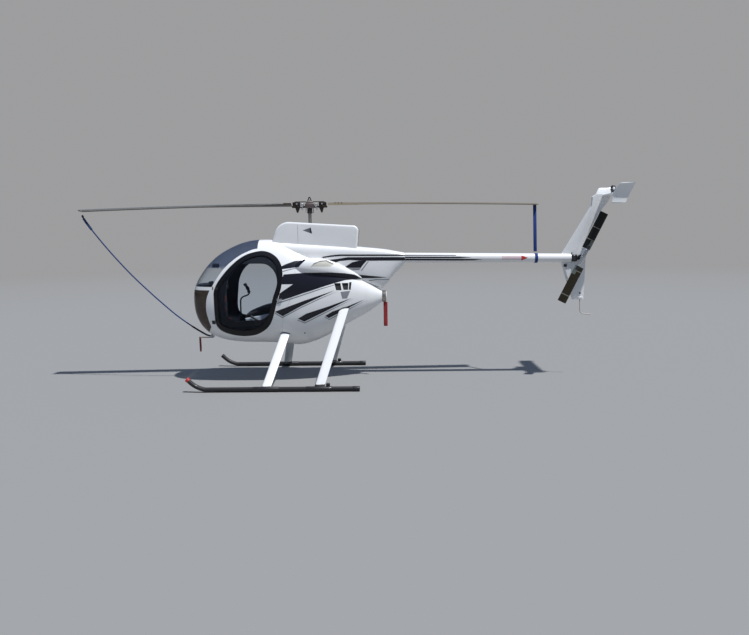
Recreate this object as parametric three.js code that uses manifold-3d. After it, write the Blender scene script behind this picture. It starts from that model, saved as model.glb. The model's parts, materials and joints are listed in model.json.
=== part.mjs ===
import * as THREE from 'three';
import { mergeVertices } from 'three/addons/utils/BufferGeometryUtils.js';
import Module from 'manifold-3d';

// A light single-seat helicopter with an egg-shaped cabin, standing on its skids.
// Millimetres. +X is forward, +Y is left, +Z is up.
// The origin is on the ground, under the middle of the machine.
// Inside this file the pieces are placed from a station 38 mm ahead of the mast: there x = 0.

const wasm = await Module();
wasm.setup();

// Driving dimensions
const STATION_TO_MIDDLE = 559;
const FIT = 0.3;
const DOOR_GAP = 5;
const WALL = 14;
const GLASS = 5;

// The rotor is parked a little turned, its front blade towards the left side
const ROTOR_X = -38;
const ROTOR_TURN = 3;
const ROTOR_RADIUS = 2921;
const ROTOR_HEIGHT = 2250;
const BLADE_ROOT = 235;
const BLADE_CHORD = 175;
const BLADE_THICKNESS = 22;
const BLADE_DROOP = 44;
const BLADE_PITCH = 5;

const TAIL_ROTOR = { x: -3464, y: 172, z: 1532, radius: 605, root: 118, chord: 108, lean: 26 };

const TRACK = 1572;
const SKID_RADIUS = 27;
const SHOE_THICKNESS = 6;
const SKID_HEIGHT = SHOE_THICKNESS + SKID_RADIUS + FIT;

const BOOM_START = -1250;
const BOOM_END = -3360;
const BOOM_HEIGHT = { start: 1558, end: 1524 };
const BOOM_RADIUS = { start: 66, end: 57 };

// Sections of the body from the nose back: station, roof, belly, half width, height of the widest line
const BODY_SECTIONS = [
  [1495, 1052, 1052, 0, 1052],
  [1479, 1212, 882, 115, 1055],
  [1441, 1300, 768, 185, 1057],
  [1373, 1406, 670, 245, 1060],
  [1265, 1535, 584, 297, 1065],
  [1120, 1652, 528, 336, 1070],
  [930, 1749, 498, 362, 1075],
  [760, 1802, 488, 372, 1080],
  [600, 1819, 486, 375, 1085],
  [420, 1812, 478, 375, 1090],
  [255, 1772, 458, 368, 1095],
  [100, 1700, 452, 355, 1095],
  [-60, 1625, 492, 335, 1095],
  [-230, 1565, 565, 308, 1095],
  [-420, 1480, 668, 265, 1090],
  [-600, 1375, 772, 213, 1085],
  [-780, 1260, 872, 150, 1075],
  [-950, 1142, 992, 76, 1067],
];
const BODY_POWER = 2.2;
const BODY_SIDES = 24;
const BODY_STEPS = 22;
const COWL_SPLIT = 255;

// Sections of the spine fairing that carries the boom:
// station, top, bottom, half width, height of the widest line, squareness
const SPINE_SECTIONS = [
  [400, 1790, 1560, 165, 1680, 2.8],
  [250, 1784, 1500, 176, 1640, 3],
  [80, 1768, 1450, 176, 1600, 3.2],
  [-300, 1740, 1350, 166, 1592, 3.2],
  [-620, 1714, 1255, 146, 1590, 3.2],
  [-950, 1680, 1175, 98, 1585, 2.8],
  [-1110, 1652, 1350, 78, 1575, 2.5],
  [BOOM_START + 2, 1625, 1493, 67, 1559, 2.1],
];
const SPINE_SIDES = 24;
const SCOOP = { x: -190, y: 200, z: 1455, reach: [350, 105, 118], tilt: 13 };

// The side outline of the mast fairing: station, height
const MAST_FAIRING = [
  [447, 1780], [427, 1838], [407, 1903], [378, 1959], [332, 2003], [275, 2029], [212, 2035], [-604, 1979],
  [-647, 1959], [-665, 1907], [-635, 1640], [0, 1640],
];
const FAIRING = { width: 236, bevel: 26, wall: 10, hole: 32 };

// The door in side view, from the foot of its straight front edge round to its head: station, height
const DOOR_FRONT = 1160;
const DOOR_OUTLINE = [
  [1150, 741], [1112, 688], [1040, 645], [928, 613], [792, 602], [651, 623], [522, 695], [450, 779], [404, 890],
  [372, 1004], [343, 1100], [311, 1188], [290, 1300], [284, 1395], [299, 1490], [347, 1577], [424, 1639],
  [515, 1670], [603, 1668], [726, 1636], [836, 1575], [954, 1472], [1044, 1369], [1100, 1294], [1138, 1228],
];
const DOOR_FOOT = 800;
const DOOR_HEAD = 1165;
const DOOR_FRAME_WIDTH = { sides: 50, foot: 72 };
const DOOR_HANDLE = { x: [300, 372], y: [300, 392], z: [1052, 1078] };

// The bow that the windshield meets over each door, and the front edge of the cabin beside the chin window
const BAR = { top: 1236, bottom: 1194 };
const BOW = [
  [1186, BAR.top], [1128, 1325], [1039, 1448], [940, 1543], [818, 1630], [678, 1692], [607, 1706], [618, 1900],
];
const CHIN_EDGE = [
  [1216, BAR.bottom], [1254, 1108], [1271, 1027], [1276, 930], [1254, 800], [1238, 725], [1262, 680],
  [1325, 600],
];
const AHEAD_OF_NOSE = 1700;

const STRUTS = [
  { name: 'front', foot: 450, top: 300, height: 560, inset: 330, chord: 112 },
  { name: 'rear', foot: -192, top: -445, height: 850, inset: 280, chord: 116 },
];
const STRUT_THICKNESS = 42;
const SKID_ROUTE = [
  [-675, 0], [-300, 0], [400, 0], [1080, 0], [1200, 4], [1310, 50], [1400, 128],
];
const SHOE = { x: [-640, 1040], width: 40 };
const WHEEL_LUG = { x: [-328, -280], width: 32, height: 70 };

const EXHAUST = { mouth: -951, end: -1000, cover: -1006, height: 1067, radius: 74, bore: 66, step: 9 };
const PITOT = { from: [1270, 40, 556], to: [1462, 40, 557], radius: 6 };
const PITOT_LEG = { x: [1272, 1300], y: [36, 44], z: [554, 700] };
const TIE_RING = { x: 1290, z: 570, radius: 18, wire: 5, stem: 6 };

// Plain blocks inside the body
const ENGINE = { x: [-420, -20], y: [-170, 170], z: [790, 1230] };
const FLOOR = { x: [COWL_SPLIT + 30, 1330], y: [-400, 400], z: [596, 612] };
const FLOOR_TOP = FLOOR.z[1] + 1;
const BULKHEAD = { x: [COWL_SPLIT + 2, COWL_SPLIT + 20], y: [-400, 400], z: [400, 1900] };
// The seat's side outlines: station, height
const SEAT_BASE = [[330, FLOOR_TOP], [790, FLOOR_TOP], [812, 818], [330, 905]];
const SEAT_CUSHION = [[428, 888.3], [812, 819], [812, 862], [770, 890], [690, 930], [600, 957], [428, 995]];
const SEAT_WIDTH = { base: 356, cushion: 348 };
const BACK_CUSHION = { x: 382, z: 912, thickness: 68, width: 344, height: 470, lean: 6 };
const PEDESTAL = { x: [1090, 1150], y: [-45, 45], z: [FLOOR_TOP, 1190] };
const PANEL = { x: [1080, 1165], y: [-95, 95], z: [1180, 1345] };
const STICK = [
  [905, 0, 814], [905, 0, 950], [900, 0, 1045], [868, 0, 1082], [806, 0, 1106], [784, 0, 1142], [804, 0, 1192],
  [842, 0, 1252],
];
const LEVER = [[420, 200, 640], [520, 200, 700], [640, 200, 790], [735, 200, 850]];
const LEVER_FOOT = { x: [380, 450], y: [183, 217], z: [FLOOR_TOP, 680] };
const HAND_TUBE = 13;
const PEDALS = {
  x: 1205, z: 640, reach: 130, bar: 10, y: 95, plate: { width: 70, depth: 12, height: 120, bottom: 645 },
};

const GEARBOX = { x: [-3436, -3361], y: [-44, 44], z: [1480, 1568] };
const GEARBOX_ARM = { x: [-3500, -3430], y: [-17, 17], z: [1500, 1560] };
const GEARBOX_BOSS = { radius: 26, end: 80 };
// Levels of each fin: height, leading edge, crease, trailing edge, thickness at the crease
const FINS = {
  upper_fin: [
    [1529, -3211, -3410, -3556, 52], [1787, -3366, -3486, -3551, 46], [2073, -3536, -3570, -3699, 36],
    [2174, -3597, -3612, -3772, 32], [2225, -3602, -3618, -3814, 30], [2288, -3606, -3622, -3842, 28],
    [2318, -3652, -3664, -3846, 26],
  ],
  lower_fin: [[1527, -3221, -3250, -3553, 52], [995, -3389, -3414, -3535, 30]],
};
const FIN_EDGE = 6;
// The step in the upper fin's top that the stabiliser lies on
const FIN_STEP = { x: [-4100, -3741], y: [-50, 50], z: [2293, 2400] };
const STABILISER = { reach: 336, x: -3742, z: 2306, chord: 200, thickness: 24 };
// Levels of each end plate: leading edge, distance out, height, chord
const END_PLATE = [[-3732, 365, 2185, 172], [-3776, 347, 2306, 181], [-3817, 402, 2428, 186]];
const END_PLATE_THICKNESS = 18;
const GUARD = [[-3489, 0, 994.5], [-3493, 0, 900], [-3500, 0, 835], [-3540, 0, 806], [-3640, 0, 798]];
const GUARD_RADIUS = 6;
// The beacon's profile: radius, height above its foot
const BEACON = { x: -3872, z: 2317, profile: [[0, 0], [24, 0], [24, 42], [32, 48], [32, 84], [22, 106], [0, 113]] };

const MAST = { radius: 21, bottom: 1795, top: 2206, collar: 33, collarFrom: 2136 };
const HEAD = { x: [-54, 54], y: [-38, 38], z: [2206.5, 2292] };
const LIFTING_EYE = { z: 2318, radius: 24, wire: 5 };
// The two steps of a blade grip: how far out it starts and ends, and its heights
const GRIP_STEPS = [[53, 300, 2214, 2238], [53, 215, 2238, 2286]];
const GRIP_REACH = 36;
const BLADE_STATIONS = [BLADE_ROOT, 900, 1600, 2300, ROTOR_RADIUS];

// The strap's ends and the rope's route: the strap's are given before the rotor is turned
const STRAP = { top: [-2880, 60, 2184], bottom: [-2871, 150, 1614], width: 43, thickness: 3 };
const ROPE_RADIUS = 9;
const ROPE_ROUTE = [
  [2851, 150, 2163], [2827, 144, 2099], [2737, 131, 1959], [2607, 113, 1777], [2471, 97, 1602], [2297, 77, 1395],
  [2113, 59, 1200], [1934, 42, 1022], [1746, 26, 849], [1556, 12, 702], [1399, 3, 600], [1345, 1, 575],
  [1316, 0, 568],
];
const EXHAUST_RIBBON = { x: [-1018, -966], y: [-4, 4], z: [676, 992.6] };
const PITOT_RIBBON = { x: [1436, 1462], y: [38, 42], z: [368, 550.6] };

const helicopter = new THREE.Group();
helicopter.position.x = STATION_TO_MIDDLE;

const finishes = {
  paint: { color: 0xf1f2f2, roughness: 0.25, metalness: 0 },
  blackTrim: { color: 0x15161a, roughness: 0.4, metalness: 0 },
  tint: { color: 0x6b5a4c, roughness: 0.05, metalness: 0, transparent: true, opacity: 0.4 },
  clear: { color: 0xcfd8dc, roughness: 0.04, metalness: 0, transparent: true, opacity: 0.3 },
  alloy: { color: 0xb8babc, roughness: 0.35, metalness: 1 },
  steel: { color: 0x6f7276, roughness: 0.4, metalness: 1 },
  blade: { color: 0x5c564c, roughness: 0.5, metalness: 0.1 },
  cloth: { color: 0x1b1c1f, roughness: 0.9, metalness: 0 },
  rope: { color: 0x1d3f78, roughness: 0.85, metalness: 0 },
  ribbon: { color: 0xb01f24, roughness: 0.8, metalness: 0 },
  lamp: { color: 0x5a1414, roughness: 0.15, metalness: 0 },
};

function piece(name, geometry, finish) {
  const mesh = new THREE.Mesh(geometry, new THREE.MeshStandardMaterial(finishes[finish]));
  mesh.name = name;
  helicopter.add(mesh);
  return mesh;
}

// A closed geometry as a solid that can be joined and cut
function solid(geometry) {
  const bare = geometry.clone();
  for (const attribute of ['normal', 'uv']) bare.deleteAttribute(attribute);
  const merged = mergeVertices(bare, 0.001);
  const corners = merged.index.array;
  const faces = [];
  for (let i = 0; i < corners.length; i += 3) {
    const [a, b, c] = [corners[i], corners[i + 1], corners[i + 2]];
    if (a !== b && b !== c && c !== a) faces.push(a, b, c);
  }
  return new wasm.Manifold(new wasm.Mesh({
    numProp: 3,
    vertProperties: new Float32Array(merged.attributes.position.array),
    triVerts: new Uint32Array(faces),
  }));
}

function geometryOf(body) {
  const mesh = body.getMesh();
  const geometry = new THREE.BufferGeometry();
  geometry.setAttribute('position', new THREE.BufferAttribute(mesh.vertProperties, 3));
  geometry.setIndex(new THREE.BufferAttribute(mesh.triVerts, 1));
  return geometry;
}

// A closed skin over rings of points, capped at both ends
function loft(rings) {
  const sides = rings[0].length;
  const points = rings.flat();
  const faces = [];
  for (let i = 0; i < rings.length - 1; i += 1) {
    for (let j = 0; j < sides; j += 1) {
      const a = i * sides + j;
      const b = i * sides + ((j + 1) % sides);
      faces.push(a, b, b + sides, a, b + sides, a + sides);
    }
  }
  const ends = [[rings[0], 0, true], [rings.at(-1), (rings.length - 1) * sides, false]];
  for (const [ring, start, turned] of ends) {
    const middle = ring.reduce((sum, point) => sum.add(point), new THREE.Vector3()).divideScalar(sides);
    points.push(middle);
    const hub = points.length - 1;
    for (let j = 0; j < sides; j += 1) {
      const a = start + j;
      const b = start + ((j + 1) % sides);
      faces.push(hub, ...(turned ? [b, a] : [a, b]));
    }
  }
  const geometry = new THREE.BufferGeometry().setFromPoints(points);
  geometry.setIndex(faces);
  if (volume(points, faces) < 0) geometry.index.array.reverse();
  return geometry;
}

function volume(points, faces) {
  let sum = 0;
  for (let i = 0; i < faces.length; i += 3) {
    const [a, b, c] = [points[faces[i]], points[faces[i + 1]], points[faces[i + 2]]];
    sum += a.dot(b.clone().cross(c));
  }
  return sum;
}

function box({ x, y, z }) {
  const geometry = new THREE.BoxGeometry(x[1] - x[0], y[1] - y[0], z[1] - z[0]);
  return geometry.translate((x[0] + x[1]) / 2, (y[0] + y[1]) / 2, (z[0] + z[1]) / 2);
}

function curve(points) {
  const places = points.map((point) => new THREE.Vector3(...point));
  return new THREE.CatmullRomCurve3(places, false, 'catmullrom', 0.5);
}

function tube(path, radius, sides, steps) {
  const section = new THREE.Shape();
  for (let i = 0; i < sides; i += 1) {
    const angle = (2 * Math.PI * i) / sides;
    const method = i === 0 ? 'moveTo' : 'lineTo';
    section[method](radius * Math.cos(angle), radius * Math.sin(angle));
  }
  return new THREE.ExtrudeGeometry(section, { extrudePath: path, steps, bevelEnabled: false });
}

function rod(from, to, radius, sides = 16, endRadius = radius) {
  const start = new THREE.Vector3(...from);
  const span = new THREE.Vector3(...to).sub(start);
  const geometry = new THREE.CylinderGeometry(endRadius, radius, span.length(), sides);
  geometry.translate(0, span.length() / 2, 0);
  const upright = new THREE.Vector3(0, 1, 0);
  geometry.applyQuaternion(new THREE.Quaternion().setFromUnitVectors(upright, span.clone().normalize()));
  return geometry.translate(start.x, start.y, start.z);
}

// A plate whose outline is given in side view, standing along the middle plane or from one Y to another
function sidePlate(outline, fromY, toY, bevel = 0) {
  const shape = outline.isShape ? outline : new THREE.Shape(outline.map(([x, z]) => new THREE.Vector2(x, z)));
  const geometry = new THREE.ExtrudeGeometry(shape, {
    depth: toY - fromY - 2 * bevel,
    bevelEnabled: bevel > 0,
    bevelThickness: bevel,
    bevelSize: bevel,
    bevelOffset: -bevel,
    bevelSegments: 2,
    curveSegments: 10,
  });
  geometry.translate(0, 0, bevel);
  geometry.rotateX(Math.PI / 2);
  return geometry.translate(0, toY, 0);
}

// A symmetric foil section: points along the chord (0 at the nose, 1 at the tail) and across it
function foil(points = 14) {
  const half = points / 2;
  const outline = [];
  for (let i = 0; i < points; i += 1) {
    const side = i <= half ? 1 : -1;
    const along = 0.5 - 0.5 * Math.cos((Math.PI * (side > 0 ? i : points - i)) / half);
    const across = 2.969 * Math.sqrt(along) - 1.26 * along - 3.516 * along ** 2
      + 2.843 * along ** 3 - 1.015 * along ** 4;
    outline.push([along, (side * across) / 2]);
  }
  return outline;
}

// One ring of a foil: where its nose is, and the vectors along its chord and across its thickness
function foilRing(nose, chord, thickness) {
  return foil().map(([along, across]) => new THREE.Vector3(...nose)
    .addScaledVector(chord, along)
    .addScaledVector(thickness, across));
}

// A value between the rows of a table, on a smooth curve through them
function smooth(before, from, to, after, t) {
  return 0.5 * (2 * from + (to - before) * t + (2 * before - 5 * from + 4 * to - after) * t * t
    + (3 * from - before - 3 * to + after) * t ** 3);
}

function bodySection(place) {
  const last = BODY_SECTIONS.length - 1;
  const row = Math.min(Math.floor(place), last - 1);
  const rows = [row - 1, row, row + 1, row + 2].map((i) => BODY_SECTIONS[Math.min(Math.max(i, 0), last)]);
  return rows[0].map((_, column) => smooth(...rows.map((values) => values[column]), place - row));
}

function ringOf(station, top, bottom, halfWidth, widest, power, sides) {
  const ring = [];
  for (let i = 0; i < sides; i += 1) {
    const angle = (2 * Math.PI * (i + 0.5)) / sides;
    const [c, s] = [Math.cos(angle), Math.sin(angle)];
    const across = Math.sign(c) * Math.abs(c) ** (2 / power);
    const up = Math.sign(s) * Math.abs(s) ** (2 / power);
    const reach = up > 0 ? top - widest : widest - bottom;
    ring.push(new THREE.Vector3(station, halfWidth * across, widest + reach * up));
  }
  return ring;
}

function bodySkin() {
  const rings = [];
  const noseTip = 0.12;
  for (let i = 0; i <= BODY_STEPS; i += 1) {
    const place = noseTip + ((BODY_SECTIONS.length - 1 - noseTip) * i) / BODY_STEPS;
    rings.push(ringOf(...bodySection(place), BODY_POWER, BODY_SIDES));
  }
  return loft(rings);
}

// The same skin moved in or out along its normals
function offset(geometry, distance) {
  const moved = geometry.clone();
  moved.computeVertexNormals();
  const { position, normal } = moved.attributes;
  for (let i = 0; i < position.count; i += 1) {
    position.setXYZ(
      i,
      position.getX(i) + distance * normal.getX(i),
      position.getY(i) + distance * normal.getY(i),
      position.getZ(i) + distance * normal.getZ(i),
    );
  }
  return moved;
}

// Body: one skin gives the cabin, cowl, doors and windows
const skin = bodySkin();
const bodySolid = solid(skin);
const bodyHollow = solid(offset(skin, -WALL));
const bodyRoom = solid(offset(skin, -WALL - 1));
const bodyClear = solid(offset(skin, FIT + 0.2));
const wall = bodySolid.subtract(bodyHollow);
const glassWall = bodySolid.subtract(solid(offset(skin, -GLASS)));

function doorShape() {
  const shape = new THREE.Shape();
  shape.moveTo(DOOR_FRONT - 3, DOOR_HEAD);
  shape.lineTo(DOOR_FRONT, DOOR_FOOT);
  shape.splineThru(DOOR_OUTLINE.map(([x, z]) => new THREE.Vector2(x, z)));
  return shape;
}

// The same outline moved inwards, by more at its foot than at its sides
function inset(points, sides, foot = sides) {
  return points.map((point, i) => {
    const before = points.at(i - 1);
    const after = points[(i + 1) % points.length];
    const along = after.clone().sub(before).normalize();
    const inwards = new THREE.Vector2(along.y, -along.x);
    const distance = sides + (foot - sides) * Math.max(0, inwards.y);
    return point.clone().addScaledVector(inwards, distance);
  });
}

const doorEdge = doorShape().getSpacedPoints(36).slice(0, -1);
const windowEdge = inset(doorEdge, DOOR_FRAME_WIDTH.sides, DOOR_FRAME_WIDTH.foot);
const pairs = (points) => points.map(({ x, y }) => [x, y]);

function sideCut(points, side) {
  const near = 150;
  const far = 500;
  return solid(side > 0 ? sidePlate(pairs(points), near, far) : sidePlate(pairs(points), -far, -near));
}

const windshieldCut = (gap) => solid(sidePlate([
  ...BOW.map(([x, z]) => [x + gap, z + gap]),
  [AHEAD_OF_NOSE, 1900],
  [AHEAD_OF_NOSE, BAR.top + gap],
], -500, 500));
const chinCut = (gap) => solid(sidePlate([
  ...CHIN_EDGE.map(([x, z], i) => [x + gap, i === 0 ? z - gap : z]),
  [AHEAD_OF_NOSE, 600],
  [AHEAD_OF_NOSE, BAR.bottom - gap],
], -500, 500));

let shell = wall.subtract(windshieldCut(0)).subtract(chinCut(0));
for (const side of [1, -1]) shell = shell.subtract(sideCut(inset(doorEdge, -DOOR_GAP), side));
const ahead = solid(box({ x: [COWL_SPLIT + FIT, AHEAD_OF_NOSE], y: [-500, 500], z: [0, 2000] }));
const behind = solid(box({ x: [-1200, COWL_SPLIT], y: [-500, 500], z: [0, 2000] }));
piece('cabin_shell', geometryOf(shell.intersect(ahead)), 'paint');
piece('windshield_upper', geometryOf(glassWall.intersect(windshieldCut(1))), 'clear');
piece('chin_window', geometryOf(glassWall.intersect(chinCut(1))), 'tint');

// Doors: a black frame ring as thick as the wall, its window, and an outside handle
for (const [side, name] of [[1, 'left'], [-1, 'right']]) {
  const frame = wall.intersect(sideCut(doorEdge, side)).subtract(sideCut(windowEdge, side));
  piece(`door_frame_${name}`, geometryOf(frame), 'blackTrim');
  piece(`door_window_${name}`, geometryOf(glassWall.intersect(sideCut(inset(windowEdge, 0.5), side))), 'clear');
  const handleSpan = DOOR_HANDLE.y.map((y) => side * y).sort((a, b) => a - b);
  const handle = solid(box({ ...DOOR_HANDLE, y: handleSpan }));
  piece(`door_handle_${name}`, geometryOf(handle.subtract(bodyClear)), 'alloy');
}

// Spine fairing, mast fairing and shoulder scoops, each cut to what it stands on
const spineSkin = loft(SPINE_SECTIONS.map((section) => ringOf(...section, SPINE_SIDES)));
const spine = solid(spineSkin).subtract(bodyClear);
const spineClear = solid(offset(spineSkin, FIT + 0.2));
const scoops = [];
for (const [side, name] of [[1, 'left'], [-1, 'right']]) {
  const bulge = new THREE.SphereGeometry(1, 20, 12).scale(...SCOOP.reach);
  bulge.rotateY(THREE.MathUtils.degToRad(-SCOOP.tilt)).translate(SCOOP.x, side * SCOOP.y, SCOOP.z);
  scoops.push([name, solid(bulge).subtract(bodyClear).subtract(spineClear)]);
}
piece('spine_fairing', geometryOf(spine), 'paint');
for (const [name, scoop] of scoops) piece(`shoulder_scoop_${name}`, geometryOf(scoop), 'paint');

// Anything built about the rotor's axis, put in its place with the parked turn
function parked(geometry) {
  return geometry.rotateZ(THREE.MathUtils.degToRad(ROTOR_TURN)).translate(ROTOR_X, 0, 0);
}
function fairingBlock(shrink) {
  const half = FAIRING.width / 2 - shrink;
  const outline = MAST_FAIRING.map(([x, z]) => [x > 0 ? x - shrink : x + shrink, z > 1900 ? z - shrink : z]);
  return solid(sidePlate(outline, -half, half, FAIRING.bevel));
}
const mastHole = solid(parked(rod([0, 0, 1900], [0, 0, 2100], FAIRING.hole, 20)));
const fairing = fairingBlock(0).subtract(fairingBlock(FAIRING.wall)).subtract(mastHole);
piece('mast_fairing', geometryOf(fairing.subtract(bodyClear).subtract(spineClear)), 'paint');

// Rear engine cowl, its outlet with the parking cover, and the engine inside
piece('engine_cowl', geometryOf(shell.intersect(behind)), 'paint');
const outletRod = (from, to, radius) => rod([from, 0, EXHAUST.height], [to, 0, EXHAUST.height], radius, 24);
const outletBore = solid(outletRod(EXHAUST.mouth - EXHAUST.step, EXHAUST.end - 10, EXHAUST.bore));
piece('exhaust_outlet', geometryOf(
  solid(outletRod(EXHAUST.mouth, EXHAUST.end, EXHAUST.radius)).subtract(outletBore),
), 'alloy');
piece('exhaust_cover', outletRod(EXHAUST.mouth - EXHAUST.step - 1, EXHAUST.cover, EXHAUST.bore - 1), 'paint');
piece('engine', box(ENGINE), 'alloy');

// Nose fittings
const pitot = solid(rod(PITOT.from, PITOT.to, PITOT.radius, 10));
piece('pitot_tube', geometryOf(pitot.add(solid(box(PITOT_LEG)).subtract(bodyClear))), 'alloy');
const ring = new THREE.TorusGeometry(TIE_RING.radius, TIE_RING.wire, 8, 16).rotateX(Math.PI / 2);
ring.translate(TIE_RING.x, 0, TIE_RING.z);
const stemFoot = TIE_RING.z + TIE_RING.radius - 2;
const ringStem = solid(rod([TIE_RING.x, 0, stemFoot], [TIE_RING.x, 0, PITOT_LEG.z[1]], TIE_RING.stem, 10));
piece('nose_tie_ring', geometryOf(solid(ring).add(ringStem.subtract(bodyClear))), 'steel');

// Cabin
piece('cabin_floor', geometryOf(solid(box(FLOOR)).intersect(bodyRoom)), 'blackTrim');
piece('rear_bulkhead', geometryOf(solid(box(BULKHEAD)).intersect(bodyRoom)), 'paint');
piece('seat_base', sidePlate(SEAT_BASE, -SEAT_WIDTH.base / 2, SEAT_WIDTH.base / 2), 'paint');
piece('seat_cushion', sidePlate(SEAT_CUSHION, -SEAT_WIDTH.cushion / 2, SEAT_WIDTH.cushion / 2), 'cloth');
const { thickness: backThickness, width: backWidth, height: backHeight, lean: backLean } = BACK_CUSHION;
const backCushion = new THREE.BoxGeometry(backThickness, backWidth, backHeight).translate(0, 0, backHeight / 2);
backCushion.rotateY(THREE.MathUtils.degToRad(-backLean)).translate(BACK_CUSHION.x, 0, BACK_CUSHION.z);
piece('seat_back_cushion', backCushion, 'cloth');
piece('instrument_pedestal', geometryOf(solid(box(PEDESTAL)).add(solid(box(PANEL)))), 'blackTrim');
const [stickX, stickY, stickZ] = STICK[0];
const stickFoot = solid(rod([stickX, stickY, FLOOR_TOP], [stickX, stickY, stickZ + 16], HAND_TUBE + 1, 12));
piece('cyclic_stick', geometryOf(solid(tube(curve(STICK), HAND_TUBE, 10, 16)).add(stickFoot)), 'blackTrim');
const lever = solid(tube(curve(LEVER), HAND_TUBE, 10, 10)).add(solid(box(LEVER_FOOT)));
piece('collective_lever', geometryOf(lever), 'blackTrim');
const pedalBar = rod([PEDALS.x, -PEDALS.reach, PEDALS.z], [PEDALS.x, PEDALS.reach, PEDALS.z], PEDALS.bar, 10);
const pedalFoot = box({ x: [PEDALS.x - 10, PEDALS.x + 10], y: [-20, 20], z: [FLOOR_TOP, PEDALS.z] });
let pedals = solid(pedalBar).add(solid(pedalFoot));
for (const side of [1, -1]) {
  const { depth, width, height, bottom } = PEDALS.plate;
  const plate = new THREE.BoxGeometry(depth, width, height);
  pedals = pedals.add(solid(plate.translate(PEDALS.x, side * PEDALS.y, bottom + height / 2)));
}
piece('pedals', geometryOf(pedals), 'blackTrim');

// Tail: boom, gearbox, fins, stabiliser with its end plates, guard rod and beacon
const boomRod = (from, to, more) => solid(rod(
  [from, 0, BOOM_HEIGHT.start], [to, 0, BOOM_HEIGHT.end], BOOM_RADIUS.start + more, 24, BOOM_RADIUS.end + more,
));
const boomBore = boomRod(BOOM_START + 10, BOOM_END - 10, -5);
piece('tail_boom', geometryOf(boomRod(BOOM_START, BOOM_END, 0).subtract(boomBore)), 'paint');
const boomClear = boomRod(BOOM_START, BOOM_END - 1, 0.5);
function gearboxWith(gap) {
  const grow = ([low, high]) => [low - gap, high + gap];
  const grown = ({ x, y, z }) => solid(box({ x: grow(x), y: grow(y), z: grow(z) }));
  const { x, z } = TAIL_ROTOR;
  const boss = rod([x, 0, z], [x, GEARBOX_BOSS.end, z], GEARBOX_BOSS.radius + gap, 16);
  return grown(GEARBOX).add(grown(GEARBOX_ARM)).add(solid(boss));
}
piece('tail_gearbox', geometryOf(gearboxWith(0)), 'steel');
for (const [name, levels] of Object.entries(FINS)) {
  const edge = FIN_EDGE / 2;
  const rings = levels.map(([z, front, crease, back, thickness]) => [
    [front, -edge], [front, edge], [crease, thickness / 2],
    [back, edge], [back, -edge], [crease, -thickness / 2],
  ].map(([x, y]) => new THREE.Vector3(x, y, z)));
  const fin = solid(loft(rings)).subtract(boomClear).subtract(gearboxWith(0.5));
  piece(name, geometryOf(fin.subtract(solid(box(FIN_STEP)))), 'paint');
}
const along = (x, y, z) => new THREE.Vector3(x, y, z);
piece('stabiliser', loft([-STABILISER.reach, STABILISER.reach].map((y) => foilRing(
  [STABILISER.x, y, STABILISER.z], along(-STABILISER.chord, 0, 0), along(0, 0, STABILISER.thickness),
))), 'paint');
for (const [side, name] of [[1, 'left'], [-1, 'right']]) {
  piece(`end_plate_${name}`, loft(END_PLATE.map(([x, y, z, chord]) => (
    foilRing([x, side * y, z], along(-chord, 0, 0), along(0, END_PLATE_THICKNESS, 0))))), 'paint');
}
piece('tail_guard', tube(curve(GUARD), GUARD_RADIUS, 8, 14), 'steel');
const beaconProfile = BEACON.profile.map(([radius, height]) => new THREE.Vector2(radius, height));
const beacon = new THREE.LatheGeometry(beaconProfile, 16).rotateX(Math.PI / 2);
piece('beacon', geometryOf(solid(beacon.translate(BEACON.x, 0, BEACON.z))), 'lamp');

// Landing gear: skid tubes with turned-up toes, shoes, struts and ground-wheel lugs
for (const [side, name] of [[1, 'left'], [-1, 'right']]) {
  const y = (side * TRACK) / 2;
  const skidPath = curve(SKID_ROUTE.map(([x, rise]) => [x, y, SKID_HEIGHT + rise]));
  const skid = solid(tube(skidPath, SKID_RADIUS, 12, 18));
  const skidClear = solid(tube(skidPath, SKID_RADIUS + FIT + 0.2, 12, 18));
  const spanAt = (width) => [y - width / 2, y + width / 2];
  const shoe = solid(box({ x: SHOE.x, y: spanAt(SHOE.width), z: [0, SHOE_THICKNESS + 2] }));
  const lugRise = [SKID_HEIGHT, SKID_HEIGHT + WHEEL_LUG.height];
  const lug = solid(box({ x: WHEEL_LUG.x, y: spanAt(WHEEL_LUG.width), z: lugRise }));
  piece(`skid_${name}`, geometryOf(skid.add(shoe).add(lug)), 'blackTrim');
  for (const { name: place, foot, top, height, inset: reach, chord } of STRUTS) {
    const chordLine = along(-chord, 0, 0);
    const rings = [[foot, y, SKID_HEIGHT], [top, side * reach, height]].map(([x, across, z]) => (
      foilRing([x + chord / 2, across, z], chordLine, along(0, STRUT_THICKNESS, 0))));
    const leg = solid(loft(rings)).subtract(bodyClear).subtract(skidClear);
    piece(`strut_${place}_${name}`, geometryOf(leg), 'paint');
  }
}

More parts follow.
